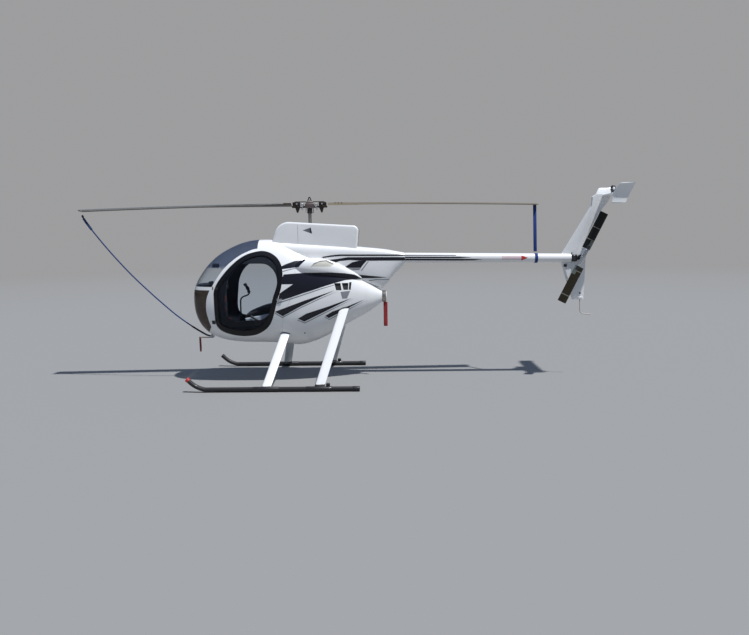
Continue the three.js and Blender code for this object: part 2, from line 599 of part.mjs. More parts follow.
// Main rotor: mast, collar, head, grips and two drooping blades, parked nearly fore and aft
const collar = solid(rod([0, 0, MAST.collarFrom], [0, 0, MAST.top - 1], MAST.collar, 20));
const mast = solid(rod([0, 0, MAST.bottom], [0, 0, MAST.top], MAST.radius, 20));
piece('rotor_mast', parked(geometryOf(mast.add(collar))), 'steel');
const eye = new THREE.TorusGeometry(LIFTING_EYE.radius, LIFTING_EYE.wire, 8, 16).rotateX(Math.PI / 2);
let head = solid(box(HEAD)).add(solid(eye.translate(0, 0, LIFTING_EYE.z)));
function droopAt(radius) {
  return BLADE_DROOP * (radius / ROTOR_RADIUS) ** 2;
}
for (const [end, name] of [[1, 'front'], [-1, 'rear']]) {
  const pitch = THREE.MathUtils.degToRad(BLADE_PITCH);
  // The leading edge of the front blade is on the left, so that it turns towards the left
  const chord = along(0, -end * BLADE_CHORD * Math.cos(pitch), -BLADE_CHORD * Math.sin(pitch));
  const noseAt = (radius, share) => along(end * radius, 0, ROTOR_HEIGHT + 12 - droopAt(radius))
    .addScaledVector(chord, -share)
    .toArray();
  piece(`main_blade_${name}`, parked(loft(BLADE_STATIONS.map((radius) => (
    foilRing(noseAt(radius, 0.3), chord, along(0, 0, BLADE_THICKNESS)))))), 'blade');
  const slot = solid(loft([BLADE_ROOT - 3, BLADE_STATIONS[1]].map((radius) => (
    foilRing(noseAt(radius, 0.33), chord.clone().multiplyScalar(1.06), along(0, 0, BLADE_THICKNESS + 3))))));
  for (const [from, to, bottom, top] of GRIP_STEPS) {
    const x = [end * from, end * to].sort((a, b) => a - b);
    head = head.add(solid(box({ x, y: [-GRIP_REACH, GRIP_REACH], z: [bottom, top] })).subtract(slot));
  }
}
piece('rotor_head', parked(geometryOf(head)), 'alloy');
const strapEnds = [STRAP.top, STRAP.bottom].map(([x, y, z]) => (
  [[-1, -1], [1, -1], [1, 1], [-1, 1]].map(([side, face]) => (
    along(x + (side * STRAP.width) / 2, y + (face * STRAP.thickness) / 2, z)))));
piece('tie_down_strap', parked(loft(strapEnds)), 'rope');

// Tail rotor: shaft, hub and two blades on the left side of the fins
const { x: tailX, y: tailY, z: tailZ } = TAIL_ROTOR;
const tailShaft = solid(rod([tailX, GEARBOX_BOSS.end + 1, tailZ], [tailX, tailY + 26, tailZ], 13, 14));
const lean = THREE.MathUtils.degToRad(TAIL_ROTOR.lean);
const up = along(-Math.sin(lean), 0, Math.cos(lean));
const across = along(Math.cos(lean), 0, Math.sin(lean));
const hubBar = new THREE.BoxGeometry(52, 32, 2 * TAIL_ROTOR.root - 2);
hubBar.rotateY(-lean).translate(tailX, tailY, tailZ);
piece('tail_rotor_hub', geometryOf(tailShaft.add(solid(hubBar))), 'steel');
for (const [end, name] of [[1, 'a'], [-1, 'b']]) {
  const chord = across.clone().multiplyScalar(TAIL_ROTOR.chord * end);
  chord.y = 10;
  const blade = loft([TAIL_ROTOR.root, TAIL_ROTOR.radius].map((radius) => {
    const nose = along(tailX, tailY, tailZ).addScaledVector(up, end * radius).addScaledVector(chord, -0.35);
    return foilRing(nose.toArray(), chord, along(0, 14, 0));
  }));
  piece(`tail_blade_${name}`, blade, 'blade');
}

// The tie-down rope from the front blade's tip to the nose, and the two ribbons on the parking covers
piece('tie_down_rope', tube(curve(ROPE_ROUTE), ROPE_RADIUS, 8, 48), 'rope');
piece('exhaust_ribbon', box(EXHAUST_RIBBON), 'ribbon');
piece('pitot_ribbon', box(PITOT_RIBBON), 'ribbon');

export default helicopter;
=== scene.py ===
import bmesh
import bpy
import json
import math
from mathutils import Matrix, Vector

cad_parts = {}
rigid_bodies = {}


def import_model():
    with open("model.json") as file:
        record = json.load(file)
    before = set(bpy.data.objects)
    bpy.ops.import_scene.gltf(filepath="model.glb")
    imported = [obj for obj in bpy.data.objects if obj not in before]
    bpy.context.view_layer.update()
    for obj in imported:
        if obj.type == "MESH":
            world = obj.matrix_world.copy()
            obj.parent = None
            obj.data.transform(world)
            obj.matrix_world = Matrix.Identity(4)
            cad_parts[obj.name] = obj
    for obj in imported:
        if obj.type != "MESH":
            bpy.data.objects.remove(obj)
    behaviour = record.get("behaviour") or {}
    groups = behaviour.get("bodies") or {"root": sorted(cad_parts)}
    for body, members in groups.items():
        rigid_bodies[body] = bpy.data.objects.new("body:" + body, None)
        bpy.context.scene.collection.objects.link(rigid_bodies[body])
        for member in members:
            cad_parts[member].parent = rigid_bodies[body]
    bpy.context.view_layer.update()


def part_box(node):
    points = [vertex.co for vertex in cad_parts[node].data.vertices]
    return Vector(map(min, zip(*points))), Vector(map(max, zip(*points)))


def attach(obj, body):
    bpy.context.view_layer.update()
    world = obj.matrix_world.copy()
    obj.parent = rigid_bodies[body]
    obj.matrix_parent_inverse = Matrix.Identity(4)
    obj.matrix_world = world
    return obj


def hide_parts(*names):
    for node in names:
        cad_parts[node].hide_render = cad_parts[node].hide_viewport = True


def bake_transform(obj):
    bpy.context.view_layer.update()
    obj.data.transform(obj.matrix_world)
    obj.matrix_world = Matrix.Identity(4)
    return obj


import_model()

# The camera stands about 8 m to the left of the machine, at eye height.
# Its place and its three turns are those of the photograph, and so is its lens.
EYE = Vector((-0.5549, 8.0599, 1.7901))
YAW, PITCH, ROLL = -0.0332, 0.1236, -0.0158
LENS = 29.944
SENSOR = 36
level_right = Vector((-math.cos(YAW), math.sin(YAW), 0))
ahead = Vector((-math.sin(YAW) * math.cos(PITCH), -math.cos(YAW) * math.cos(PITCH), -math.sin(PITCH)))
level_up = level_right.cross(ahead)
right = math.cos(ROLL) * level_right + math.sin(ROLL) * level_up
camera = bpy.data.objects.new("camera", bpy.data.cameras.new("camera"))
camera.data.sensor_width = SENSOR
camera.data.lens = LENS
turned_by = Matrix((right, right.cross(ahead), -ahead)).transposed().to_4x4()
camera.matrix_world = Matrix.Translation(EYE) @ turned_by
bpy.context.scene.collection.objects.link(camera)
bpy.context.scene.camera = camera

# The tie-down rope: three navy strands laid together, slack between the front blade's tip and the nose
# ring. Its route repeats the CAD's; a black whipping binds its last stretch, and it swings with the blade
# it is tied to. Stations, here and below, count forwards from ZERO. The mast stands a little behind it.
MAST_STATION = -0.038
ZERO = (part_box("rotor_mast")[0].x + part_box("rotor_mast")[1].x) / 2 - MAST_STATION
ROPE_RADIUS = 0.009
ROPE_ROUTE = [
    (2.851, 0.150, 2.163), (2.827, 0.144, 2.099), (2.737, 0.131, 1.959), (2.607, 0.113, 1.777),
    (2.471, 0.097, 1.602), (2.297, 0.077, 1.395), (2.113, 0.059, 1.200), (1.934, 0.042, 1.022),
    (1.746, 0.026, 0.849), (1.556, 0.012, 0.702), (1.399, 0.003, 0.600), (1.345, 0.001, 0.575),
    (1.316, 0, 0.568),
]
ROPE_LAY = 0.075


def between(rows, place):
    """A value between the rows of a table, on a smooth curve through them."""
    row = min(int(place), len(rows) - 2)
    t = place - row
    a, b, c, d = (rows[min(max(row + i, 0), len(rows) - 1)] for i in (-1, 0, 1, 2))
    return [
        0.5 * (2 * q + (r - p) * t + (2 * p - 5 * q + 4 * r - s) * t * t + (3 * q - p - 3 * r + s) * t ** 3)
        for p, q, r, s in zip(a, b, c, d)
    ]


def curve_through(rows, steps):
    return [between(rows, (len(rows) - 1) * i / steps) for i in range(steps + 1)]


def loft(rings):
    """A skin over closed rings of points, all with the same count, closed by a face at each end."""
    bm = bmesh.new()
    loops = []
    for ring in rings:
        points = [bm.verts.new(point) for point in ring]
        loops.append([bm.edges.new(pair) for pair in zip(points, points[1:] + points[:1])])
    for first, second in zip(loops, loops[1:]):
        bmesh.ops.bridge_loops(bm, edges=first + second)
    for loop in (loops[0], loops[-1]):
        bmesh.ops.edgeloop_fill(bm, edges=loop)
    bmesh.ops.recalc_face_normals(bm, faces=bm.faces)
    return bm


def tube_rings(path, section):
    """One ring at each point of a path; section(i) gives its points across and up, in metres."""
    rings = []
    across = None
    for i, point in enumerate(path):
        along = (path[min(i + 1, len(path) - 1)] - path[max(i - 1, 0)]).normalized()
        if across is None:
            across = along.cross(Vector((0, 0, 1)))
            if across.length < 0.01:
                across = Vector((0, 1, 0))
        across = (across - along * across.dot(along)).normalized()
        up = across.cross(along)
        rings.append([point + across * x + up * y for x, y in section(i)])
    return rings


def circle(radius, sides):
    turn = 2 * math.pi / sides
    return [(radius * math.cos(turn * i), radius * math.sin(turn * i)) for i in range(sides)]


def finish_piece(name, bm, material, body="root", replaces=(), smooth=True, sharp=35):
    """A bmesh becomes a piece: shaded smooth but for its sharp edges, riding on its body."""
    mesh = bpy.data.meshes.new(name)
    for face in bm.faces:
        face.smooth = smooth
    for edge in bm.edges:
        if len(edge.link_faces) == 2:
            edge.smooth = edge.calc_face_angle(0) < math.radians(sharp)
    bm.to_mesh(mesh)
    bm.free()
    piece = bpy.data.objects.new(name, mesh)
    bpy.context.scene.collection.objects.link(piece)
    for one in material if isinstance(material, list) else [material]:
        mesh.materials.append(one)
    if body:
        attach(piece, body)
    if replaces:
        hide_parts(*replaces)
    return piece


def new_material(name, color, roughness, metallic=0.0, coat=0.0, specular=0.5):
    """A Principled material, with the handles that its finish is then wired to."""
    material = bpy.data.materials.new(name)
    material.use_nodes = True
    shader = material.node_tree.nodes["Principled BSDF"]
    shader.inputs["Base Color"].default_value = (*color, 1)
    shader.inputs["Roughness"].default_value = roughness
    shader.inputs["Metallic"].default_value = metallic
    shader.inputs["Coat Weight"].default_value = coat
    shader.inputs["Specular IOR Level"].default_value = specular
    return material, material.node_tree.nodes, material.node_tree.links, shader


def texture(nodes, links, kind, scale=5.0, stretch=None, **values):
    """A texture node on the piece's own Object coordinates."""
    place = nodes.new("ShaderNodeTexCoord")
    node = nodes.new(kind)
    vector = place.outputs["Object"]
    if stretch:
        mapping = nodes.new("ShaderNodeMapping")
        mapping.inputs["Scale"].default_value = stretch
        links.new(vector, mapping.inputs["Vector"])
        vector = mapping.outputs["Vector"]
    links.new(vector, node.inputs["Vector"])
    if "Scale" in node.inputs:
        node.inputs["Scale"].default_value = scale
    for key, value in values.items():
        if key in node.inputs:
            node.inputs[key].default_value = value
        else:
            setattr(node, key, value)
    return node


def ramp(nodes, links, source, stops):
    """A colour ramp on a value; stops are (place, colour) pairs."""
    node = nodes.new("ShaderNodeValToRGB")
    while len(node.color_ramp.elements) < len(stops):
        node.color_ramp.elements.new(0.5)
    for element, (place, color) in zip(node.color_ramp.elements, stops):
        element.position = place
        element.color = (*color, 1) if len(color) == 3 else color
    links.new(source, node.inputs["Fac"])
    return node


def bump(nodes, links, height, shader, strength, distance):
    node = nodes.new("ShaderNodeBump")
    node.inputs["Strength"].default_value = strength
    node.inputs["Distance"].default_value = distance
    links.new(height, node.inputs["Height"])
    links.new(node.outputs["Normal"], shader.inputs["Normal"])


def roughness_from(nodes, links, source, shader, low, high):
    node = nodes.new("ShaderNodeMapRange")
    node.inputs["To Min"].default_value = low
    node.inputs["To Max"].default_value = high
    links.new(source, node.inputs["Value"])
    links.new(node.outputs["Result"], shader.inputs["Roughness"])


def braided(name, dark, light, scale):
    """Twisted or woven fibre: fine strands across the piece, faded unevenly along it."""
    material, nodes, links, shader = new_material(name, light, 0.85, specular=0.25)
    strands = texture(nodes, links, "ShaderNodeTexNoise", scale=scale, Detail=6.0, Roughness=0.7)
    fade = ramp(nodes, links, strands.outputs["Fac"], [(0.3, dark), (0.7, light)])
    links.new(fade.outputs["Color"], shader.inputs["Base Color"])
    bump(nodes, links, strands.outputs["Fac"], shader, 0.5, 0.001)
    shader.inputs["Sheen Weight"].default_value = 0.3
    return material


rope_path = [Vector((ZERO + x, y, z)) for x, y, z in curve_through(ROPE_ROUTE, 420)]
rope_travel = [0.0]
for a, b in zip(rope_path, rope_path[1:]):
    rope_travel.append(rope_travel[-1] + (b - a).length)


def rope_section(i):
    """Three strands, turned a little more at each ring."""
    points = []
    for k in range(18):
        angle = 2 * math.pi * k / 18
        reach = ROPE_RADIUS * (0.84 + 0.16 * abs(math.cos(1.5 * angle)))
        turned = angle + 2 * math.pi * rope_travel[i] / ROPE_LAY
        points.append((reach * math.cos(turned), reach * math.sin(turned)))
    return points


navy_rope = braided("navy_rope", (0.006, 0.016, 0.06), (0.02, 0.07, 0.24), 260)
rope = finish_piece("tie_down_rope_laid", loft(tube_rings(rope_path, rope_section)), navy_rope, body=None,
    replaces=("tie_down_rope",), sharp=60)
black_cord = braided("black_cord", (0.006, 0.006, 0.008), (0.03, 0.03, 0.034), 300)


def wrapped_round(name, first, last, radius, material):
    """A wrapping round one stretch of the rope, drawn in at both ends."""
    stretch = rope_path[first:last + 1]
    steps = last - first
    return finish_piece(name, loft(tube_rings(stretch, lambda i: circle(
        radius - 0.003 * (i in (0, steps)), 16))), material, body=None, sharp=60)


wrappings = [wrapped_round("rope_eye", 4, 22, 0.013, black_cord),
    wrapped_round("rope_sleeve", 26, 66, 0.015, navy_rope),
    wrapped_round("rope_whipping", 314, 404, 0.0115, black_cord)]
for piece in [rope, *wrappings]:
    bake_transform(piece)

# The body: one egg-shaped glass-fibre skin that gives the cabin, the rear cowl, the doors and the windows.
# The rows repeat the CAD's sections: station, roof, belly, half width, height of the widest line.
BODY_SECTIONS = [
    (1.495, 1.052, 1.052, 0.000, 1.052), (1.479, 1.212, 0.882, 0.115, 1.055),
    (1.441, 1.300, 0.768, 0.185, 1.057), (1.373, 1.406, 0.670, 0.245, 1.060),
    (1.265, 1.535, 0.584, 0.297, 1.065), (1.120, 1.652, 0.528, 0.336, 1.070),
    (0.930, 1.749, 0.498, 0.362, 1.075), (0.760, 1.802, 0.488, 0.372, 1.080),
    (0.600, 1.819, 0.486, 0.375, 1.085), (0.420, 1.812, 0.478, 0.375, 1.090),
    (0.255, 1.772, 0.458, 0.368, 1.095), (0.100, 1.700, 0.452, 0.355, 1.095),
    (-0.060, 1.625, 0.492, 0.335, 1.095), (-0.230, 1.565, 0.565, 0.308, 1.095),
    (-0.420, 1.480, 0.668, 0.265, 1.090), (-0.600, 1.375, 0.772, 0.213, 1.085),
    (-0.780, 1.260, 0.872, 0.150, 1.075), (-0.950, 1.142, 0.992, 0.076, 1.067),
]
BODY_POWER = 2.2
BODY_SIDES = 112
BODY_RINGS = 130
NOSE_TIP = 0.02
WALL = 0.014
GLASS = 0.005
FILM = 0.0007
CHIN_BAR = 1.236, 1.194
SUN_BAND = 1.467
BOW = [(1.186, 1.236), (1.128, 1.325), (1.039, 1.448), (0.940, 1.543), (0.818, 1.630), (0.678, 1.692),
    (0.607, 1.706)]
CHIN_EDGE = [(1.216, 1.194), (1.254, 1.108), (1.271, 1.027), (1.276, 0.930), (1.254, 0.800), (1.238, 0.725),
    (1.262, 0.680), (1.325, 0.600)]
COWL_SEAM = [(0.320, 0.400), (0.318, 0.595), (0.284, 0.838), (0.171, 1.128), (0.150, 1.240), (0.126, 1.411),
    (0.110, 1.900)]


def superellipse(station, top, bottom, half_width, widest, power, sides):
    """A ring across the machine at a station, rounder or squarer by its power."""
    ring = []
    for k in range(sides):
        angle = 2 * math.pi * (k + 0.5) / sides
        c, s = math.cos(angle), math.sin(angle)
        across = math.copysign(abs(c) ** (2 / power), c)
        up = math.copysign(abs(s) ** (2 / power), s)
        reach = top - widest if up > 0 else widest - bottom
        ring.append(Vector((ZERO + station, half_width * across, widest + reach * up)))
    return ring


def body_skin(moved):
    """The whole closed skin, moved in or out along its normals."""
    last = len(BODY_SECTIONS) - 1
    places = [NOSE_TIP + (last - NOSE_TIP) * i / BODY_RINGS for i in range(BODY_RINGS + 1)]
    bm = loft([superellipse(*between(BODY_SECTIONS, place), BODY_POWER, BODY_SIDES) for place in places])
    return shifted(bm, moved)


def shifted(bm, moved):
    bm.normal_update()
    normals = [vert.normal.copy() for vert in bm.verts]
    for vert, normal in zip(bm.verts, normals):
        vert.co += normal * moved
    return bm


def working(bm):
    """A solid to cut or to cut with. It is removed at the end."""
    mesh = bpy.data.meshes.new("working")
    bm.to_mesh(mesh)
    bm.free()
    solid = bpy.data.objects.new("working", mesh)
    bpy.context.scene.collection.objects.link(solid)
    return solid


def within(solid):
    """A cut that keeps only what lies inside a working solid."""
    return "INTERSECT", solid


def carved(base, *cuts):
    """A new bmesh from a working solid, less each working solid among its cuts, or kept within it."""
    for cut in cuts:
        modifier = base.modifiers.new("cut", "BOOLEAN")
        modifier.solver = "MANIFOLD"
        modifier.operation, modifier.object = cut if isinstance(cut, tuple) else ("DIFFERENCE", cut)
    result = base.evaluated_get(bpy.context.evaluated_depsgraph_get())
    bm = bmesh.new()
    bm.from_mesh(result.to_mesh())
    result.to_mesh_clear()
    base.modifiers.clear()
    return bm


def joined(*parts):
    """Several bmeshes as one, each still closed on its own."""
    whole = bmesh.new()
    for part in parts:
        mesh = bpy.data.meshes.new("part")
        part.to_mesh(mesh)
        part.free()
        whole.from_mesh(mesh)
        bpy.data.meshes.remove(mesh)
    return whole


def prism(outline, low, high):
    """A side outline, given as stations and heights, drawn out from one Y to another."""
    bm = bmesh.new()
    face = bm.faces.new([bm.verts.new((ZERO + x, low, z)) for x, z in outline])
    made = bmesh.ops.extrude_face_region(bm, geom=[face])["geom"]
    bmesh.ops.translate(bm, vec=(0, high - low, 0), verts=[v for v in made
        if isinstance(v, bmesh.types.BMVert)])
    bmesh.ops.recalc_face_normals(bm, faces=bm.faces)
    return bm


def side_cut(outline, side, near=0.1, far=0.6):
    return working(prism(outline, near, far) if side > 0 else prism(outline, -far, -near))


def speckled(name, color, roughness, coat, grime, specular=0.5):
    """Sprayed or moulded gloss: a faint orange peel, and dust that dulls it in soft patches."""
    material, nodes, links, shader = new_material(name, color, roughness, coat=coat, specular=specular)
    shader.inputs["Coat Roughness"].default_value = 0.06
    dust = texture(nodes, links, "ShaderNodeTexNoise", scale=3.2, Detail=8.0, Roughness=0.62)
    stained = tuple(c * (1 - grime) for c in color)
    tone = ramp(nodes, links, dust.outputs["Fac"], [(0.32, color), (0.5, color), (0.78, stained)])
    links.new(tone.outputs["Color"], shader.inputs["Base Color"])
    roughness_from(nodes, links, dust.outputs["Fac"], shader, roughness * 0.7, roughness * 1.5)
    peel = texture(nodes, links, "ShaderNodeTexNoise", scale=160, Detail=2.0)
    bump(nodes, links, peel.outputs["Fac"], shader, 0.06, 0.001)
    return material


white_gel_coat = speckled("white_gel_coat", (0.86, 0.865, 0.87), 0.2, 0.6, 0.05)
dark_interior = speckled("dark_interior", (0.03, 0.032, 0.042), 0.6, 0.0, 0.3)
black_vinyl = speckled("black_vinyl", (0.010, 0.010, 0.018), 0.3, 0.15, 0.25, 0.3)
# Grey film for the printed shadow lines; the same grey also serves as painted shade under the outlets.
grey_vinyl_and_shade = speckled("grey_vinyl_and_shade", (0.24, 0.25, 0.28), 0.35, 0.2, 0.15)
black_gloss = speckled("black_gloss", (0.006, 0.006, 0.009), 0.32, 0.08, 0.2, 0.25)


def pane(name, tint, dark, haze):
    """Clear or tinted acrylic: see-through head on, mirror-like at a glancing angle, faintly dusty."""
    material, nodes, links, shader = new_material(name, dark, 0.05, coat=0.3)
    clear = nodes.new("ShaderNodeBsdfTransparent")
    clear.inputs["Color"].default_value = (*tint, 1)
    facing = nodes.new("ShaderNodeLayerWeight")
    facing.inputs["Blend"].default_value = 0.5
    steep = nodes.new("ShaderNodeMath")
    steep.operation = "POWER"
    steep.inputs[1].default_value = 4.0
    links.new(facing.outputs["Facing"], steep.inputs[0])
    film = nodes.new("ShaderNodeMapRange")
    film.inputs["To Min"].default_value = haze
    film.inputs["To Max"].default_value = 0.9
    links.new(steep.outputs["Value"], film.inputs["Value"])
    mix = nodes.new("ShaderNodeMixShader")
    links.new(film.outputs["Result"], mix.inputs["Fac"])
    links.new(clear.outputs["BSDF"], mix.inputs[1])
    links.new(shader.outputs["BSDF"], mix.inputs[2])
    links.new(mix.outputs["Shader"], nodes["Material Output"].inputs["Surface"])
    material.surface_render_method = "BLENDED"
    return material


clear_acrylic = pane("clear_acrylic", (0.93, 0.95, 0.97), (0.05, 0.06, 0.08), 0.02)
blue_acrylic = pane("blue_acrylic", (0.74, 0.79, 0.88), (0.05, 0.06, 0.09), 0.10)
smoked_acrylic = pane("smoked_acrylic", (0.58, 0.53, 0.48), (0.13, 0.115, 0.105), 0.30)

skin = working(body_skin(0))
room = working(body_skin(-WALL))
glass_room = working(body_skin(-GLASS))
around = working(body_skin(0.0005))
wall = working(carved(skin, room))
glass_wall = working(carved(skin, glass_room))


FAR_AHEAD = 1.7
bow_curve = [tuple(p) for p in curve_through(BOW, 40)]
chin_curve = [tuple(p) for p in curve_through(CHIN_EDGE, 40)]
seam_curve = [tuple(p) for p in curve_through(COWL_SEAM, 40)]


def windshield_outline(gap):
    edge = [(x + gap, z + gap) for x, z in bow_curve]
    return edge + [(0.618 + gap, 1.9), (FAR_AHEAD, 1.9), (FAR_AHEAD, CHIN_BAR[0] + gap)]


def chin_outline(gap):
    edge = [(x + gap, min(z, CHIN_BAR[1] - gap)) for x, z in chin_curve]
    return edge + [(FAR_AHEAD, 0.6), (FAR_AHEAD, CHIN_BAR[1] - gap)]


def cowl_outline(gap):
    return [(x - gap, z) for x, z in seam_curve] + [(-1.2, 1.9), (-1.2, 0.4)]


# The doors: a black moulded ring as thick as the wall, hinged at its straight front edge, round a bowed pane.
# The outline repeats the CAD's: a straight front edge, then one curve round the foot, the back and the head.
DOOR_FRONT = [(1.157, 1.165), (1.160, 0.800)]
DOOR_CURVE = [
    (1.160, 0.800), (1.150, 0.741), (1.112, 0.688), (1.040, 0.645), (0.928, 0.613), (0.792, 0.602),
    (0.651, 0.623), (0.522, 0.695), (0.450, 0.779), (0.404, 0.890), (0.372, 1.004), (0.343, 1.100),
    (0.311, 1.188), (0.290, 1.300), (0.284, 1.395), (0.299, 1.490), (0.347, 1.577), (0.424, 1.639),
    (0.515, 1.670), (0.603, 1.668), (0.726, 1.636), (0.836, 1.575), (0.954, 1.472), (1.044, 1.369),
    (1.100, 1.294), (1.138, 1.228),
]
DOOR_GAP = 0.005
FRAME_SIDES, FRAME_FOOT = 0.050, 0.072


def evenly(points, count):
    """The same closed outline with its points spread evenly."""
    closed = [Vector(p) for p in points] + [Vector(points[0])]
    travel = [0.0]
    for a, b in zip(closed, closed[1:]):
        travel.append(travel[-1] + (b - a).length)
    spread = []
    row = 0
    for i in range(count):
        reach = travel[-1] * i / count
        while travel[row + 1] < reach:
            row += 1
        share = (reach - travel[row]) / (travel[row + 1] - travel[row])
        spread.append(tuple(closed[row].lerp(closed[row + 1], share)))
    return spread


def rounded_off(points, steps=4):
    """A smooth closed curve through the points."""
    count = len(points)
    wrapped = [points[-1], *points, points[0], points[1]]
    return [tuple(between(wrapped, 1 + i / steps)) for i in range(count * steps)]


door_points = evenly(DOOR_FRONT + [tuple(p) for p in curve_through(DOOR_CURVE, 160)], 56)


def door_line(sides, foot=None):
    """The door's outline moved inwards, by more at its foot than at its sides."""
    foot = sides if foot is None else foot
    moved = []
    for i, (x, z) in enumerate(door_points):
        before, after = door_points[i - 1], door_points[(i + 1) % len(door_points)]
        along = Vector((after[0] - before[0], after[1] - before[1])).normalized()
        inwards = (along.y, -along.x)
        distance = sides + (foot - sides) * max(0, inwards[1])
        moved.append((x + inwards[0] * distance, z + inwards[1] * distance))
    return rounded_off(moved)


def lined(piece, inner, middle=1.09):
    """Faces that look in towards the middle of the body get the inner material."""
    piece.data.materials.append(inner)
    for face in piece.data.polygons:
        outwards = Vector((0, face.center.y, face.center.z - middle)).normalized()
        if face.normal.dot(outwards) < -0.55:
            face.material_index = len(piece.data.materials) - 1
    return piece


windshield_cut = working(prism(windshield_outline(0), -0.6, 0.6))
chin_cut = working(prism(chin_outline(0), -0.6, 0.6))
cowl_cut = working(prism(cowl_outline(-0.0008), -0.6, 0.6))
door_openings = [side_cut(door_line(-DOOR_GAP), side) for side in (1, -1)]
shell = carved(wall, windshield_cut, chin_cut, cowl_cut, *door_openings)
lined(finish_piece("cabin_skin", shell, white_gel_coat, replaces=("cabin_shell",)),
    dark_interior)

pane_cuts = [working(prism(windshield_outline(0.001), -0.6, 0.6)),
    working(prism(chin_outline(0.001), -0.6, 0.6))]
windshield = finish_piece("windshield_pane", carved(glass_wall, within(pane_cuts[0])),
    [clear_acrylic, blue_acrylic], replaces=("windshield_upper",))
for face in windshield.data.polygons:
    face.material_index = int(face.center.z > SUN_BAND)
finish_piece("chin_pane", carved(glass_wall, within(pane_cuts[1])), smoked_acrylic,
    replaces=("chin_window",))

SIDES = [(1, "left"), (-1, "right")]
rubber = speckled("rubber", (0.018, 0.018, 0.019), 0.75, 0.0, 0.3)
APERTURE = [
    (1.025, 0.950), (1.022, 1.040), (1.014, 1.130), (0.999, 1.245), (0.978, 1.321), (0.940, 1.396),
    (0.896, 1.452), (0.835, 1.500), (0.770, 1.517), (0.560, 1.520), (0.470, 1.500), (0.400, 1.440),
    (0.360, 1.360), (0.350, 1.250), (0.375, 1.130), (0.415, 1.010), (0.460, 0.900), (0.530, 0.835),
    (0.620, 0.811), (0.900, 0.811), (0.975, 0.835), (1.012, 0.881),
]
navy_lining = speckled("navy_lining", (0.012, 0.013, 0.018), 0.6, 0.0, 0.3, 0.3)
lining_wall = working(carved(working(body_skin(-WALL - 0.001)), working(body_skin(-WALL - 0.009))))
for side, name in SIDES:
    whole = side_cut(door_line(0), side)
    opening = side_cut(door_line(FRAME_SIDES, FRAME_FOOT), side)
    finish_piece(f"door_ring_{name}", carved(wall, within(whole), opening), black_gloss, f"door_{name}",
        (f"door_frame_{name}",))
    finish_piece(f"door_pane_{name}", carved(glass_wall, within(opening)), clear_acrylic, f"door_{name}",
        (f"door_window_{name}",))
    lining = carved(lining_wall, within(side_cut(door_line(-0.018), side)),
        side_cut(rounded_off(APERTURE), side))
    finish_piece(f"door_lining_{name}", lining, navy_lining)

# The rear cowl: the same skin behind the slanting seam, with cut air outlets on both sides and a tail cone
# seam.
VENTS = [
    [(-0.355, 1.261), (-0.432, 1.260), (-0.445, 1.170), (-0.378, 1.171)],
    [(-0.448, 1.259), (-0.530, 1.258), (-0.524, 1.172), (-0.469, 1.173)],
    [(-0.540, 1.266), (-0.569, 1.266), (-0.558, 1.171), (-0.533, 1.171)],
]
# A grey film patch under the outlets: painted shade where the skin below them lies in shadow.
OUTLET_SHADE_PATCH = [(-0.432, 1.150), (-0.552, 1.160), (-0.512, 1.066), (-0.452, 1.064)]
CONE_SEAM = -0.758
SEAM_WIDTH = 0.003
groove_floor = working(body_skin(-0.003))
behind = working(prism(cowl_outline(0.0008), -0.6, 0.6))
cowl_cuts = [side_cut(outline, side) for outline in VENTS for side in (1, -1)]
cone_slab = working(carved(working(prism([(CONE_SEAM, 0.4), (CONE_SEAM, 1.9), (CONE_SEAM + SEAM_WIDTH, 1.9),
    (CONE_SEAM + SEAM_WIDTH, 0.4)], -0.5, 0.5)), groove_floor))
cowl = carved(wall, within(behind), cone_slab, *cowl_cuts)
lined(finish_piece("rear_cowl_skin", cowl, white_gel_coat, replaces=("engine_cowl",)),
      dark_interior)

# The paint scheme: swooshes and tapering stripes cut from black film and stuck on, each with a grey shadow
# line. Side outlines, as stations and heights; both sides carry the same shapes, mirrored.
SWOOSH = [(0.262, 1.384), (0.121, 1.392), (0.002, 1.398), (-0.161, 1.399), (-0.323, 1.396), (-0.485, 1.382),
    (-0.609, 1.360), (-0.700, 1.305), (-0.488, 1.294), (-0.357, 1.262), (-0.230, 1.226), (-0.098, 1.184),
    (0.040, 1.144), (0.163, 1.103), (0.345, 1.050), (0.317, 1.150), (0.150, 1.262), (0.310, 1.262),
    (0.293, 1.330)]
UPPER_SWOOSH = [(0.296, 1.483), (0.249, 1.506), (0.140, 1.544), (0.007, 1.564), (-0.005, 1.554),
    (0.046, 1.509), (0.080, 1.472), (0.295, 1.448)]
DARTS = [
    [(0.385, 0.921), (0.220, 0.981), (0.020, 1.052), (-0.170, 1.112), (-0.356, 1.170), (-0.170, 1.090),
     (0.060, 0.985), (0.292, 0.862)],
    [(0.105, 0.826), (-0.002, 0.888), (-0.280, 0.972), (-0.563, 1.066), (-0.300, 0.940), (0.028, 0.785)],
    [(-0.234, 0.851), (-0.323, 0.903), (-0.520, 0.965), (-0.722, 1.040), (-0.500, 0.930), (-0.277, 0.819)],
]
SHADOW_LINES = [
    [(0.353, 1.034), (0.067, 1.120), (-0.181, 1.198), (-0.357, 1.243), (-0.357, 1.236), (-0.181, 1.187),
     (0.067, 1.107), (0.355, 1.019)],
    [(0.286, 1.424), (0.200, 1.446), (0.108, 1.462), (0.108, 1.454), (0.200, 1.436), (0.287, 1.412)],
    [(0.385, 0.908), (0.296, 0.852), (0.060, 0.972), (-0.170, 1.076), (-0.400, 1.160), (-0.170, 1.066),
     (0.060, 0.962), (0.298, 0.838), (0.392, 0.902)],
    [(0.108, 0.812), (0.026, 0.772), (-0.300, 0.928), (-0.600, 1.062), (-0.300, 0.918), (0.026, 0.760),
     (0.116, 0.806)],
    [(-0.230, 0.840), (-0.280, 0.806), (-0.510, 0.920), (-0.745, 1.030), (-0.510, 0.910), (-0.280, 0.795),
     (-0.222, 0.834)],
]
film_wall = working(carved(working(body_skin(0.0004 + FILM)), working(body_skin(0.0004))))


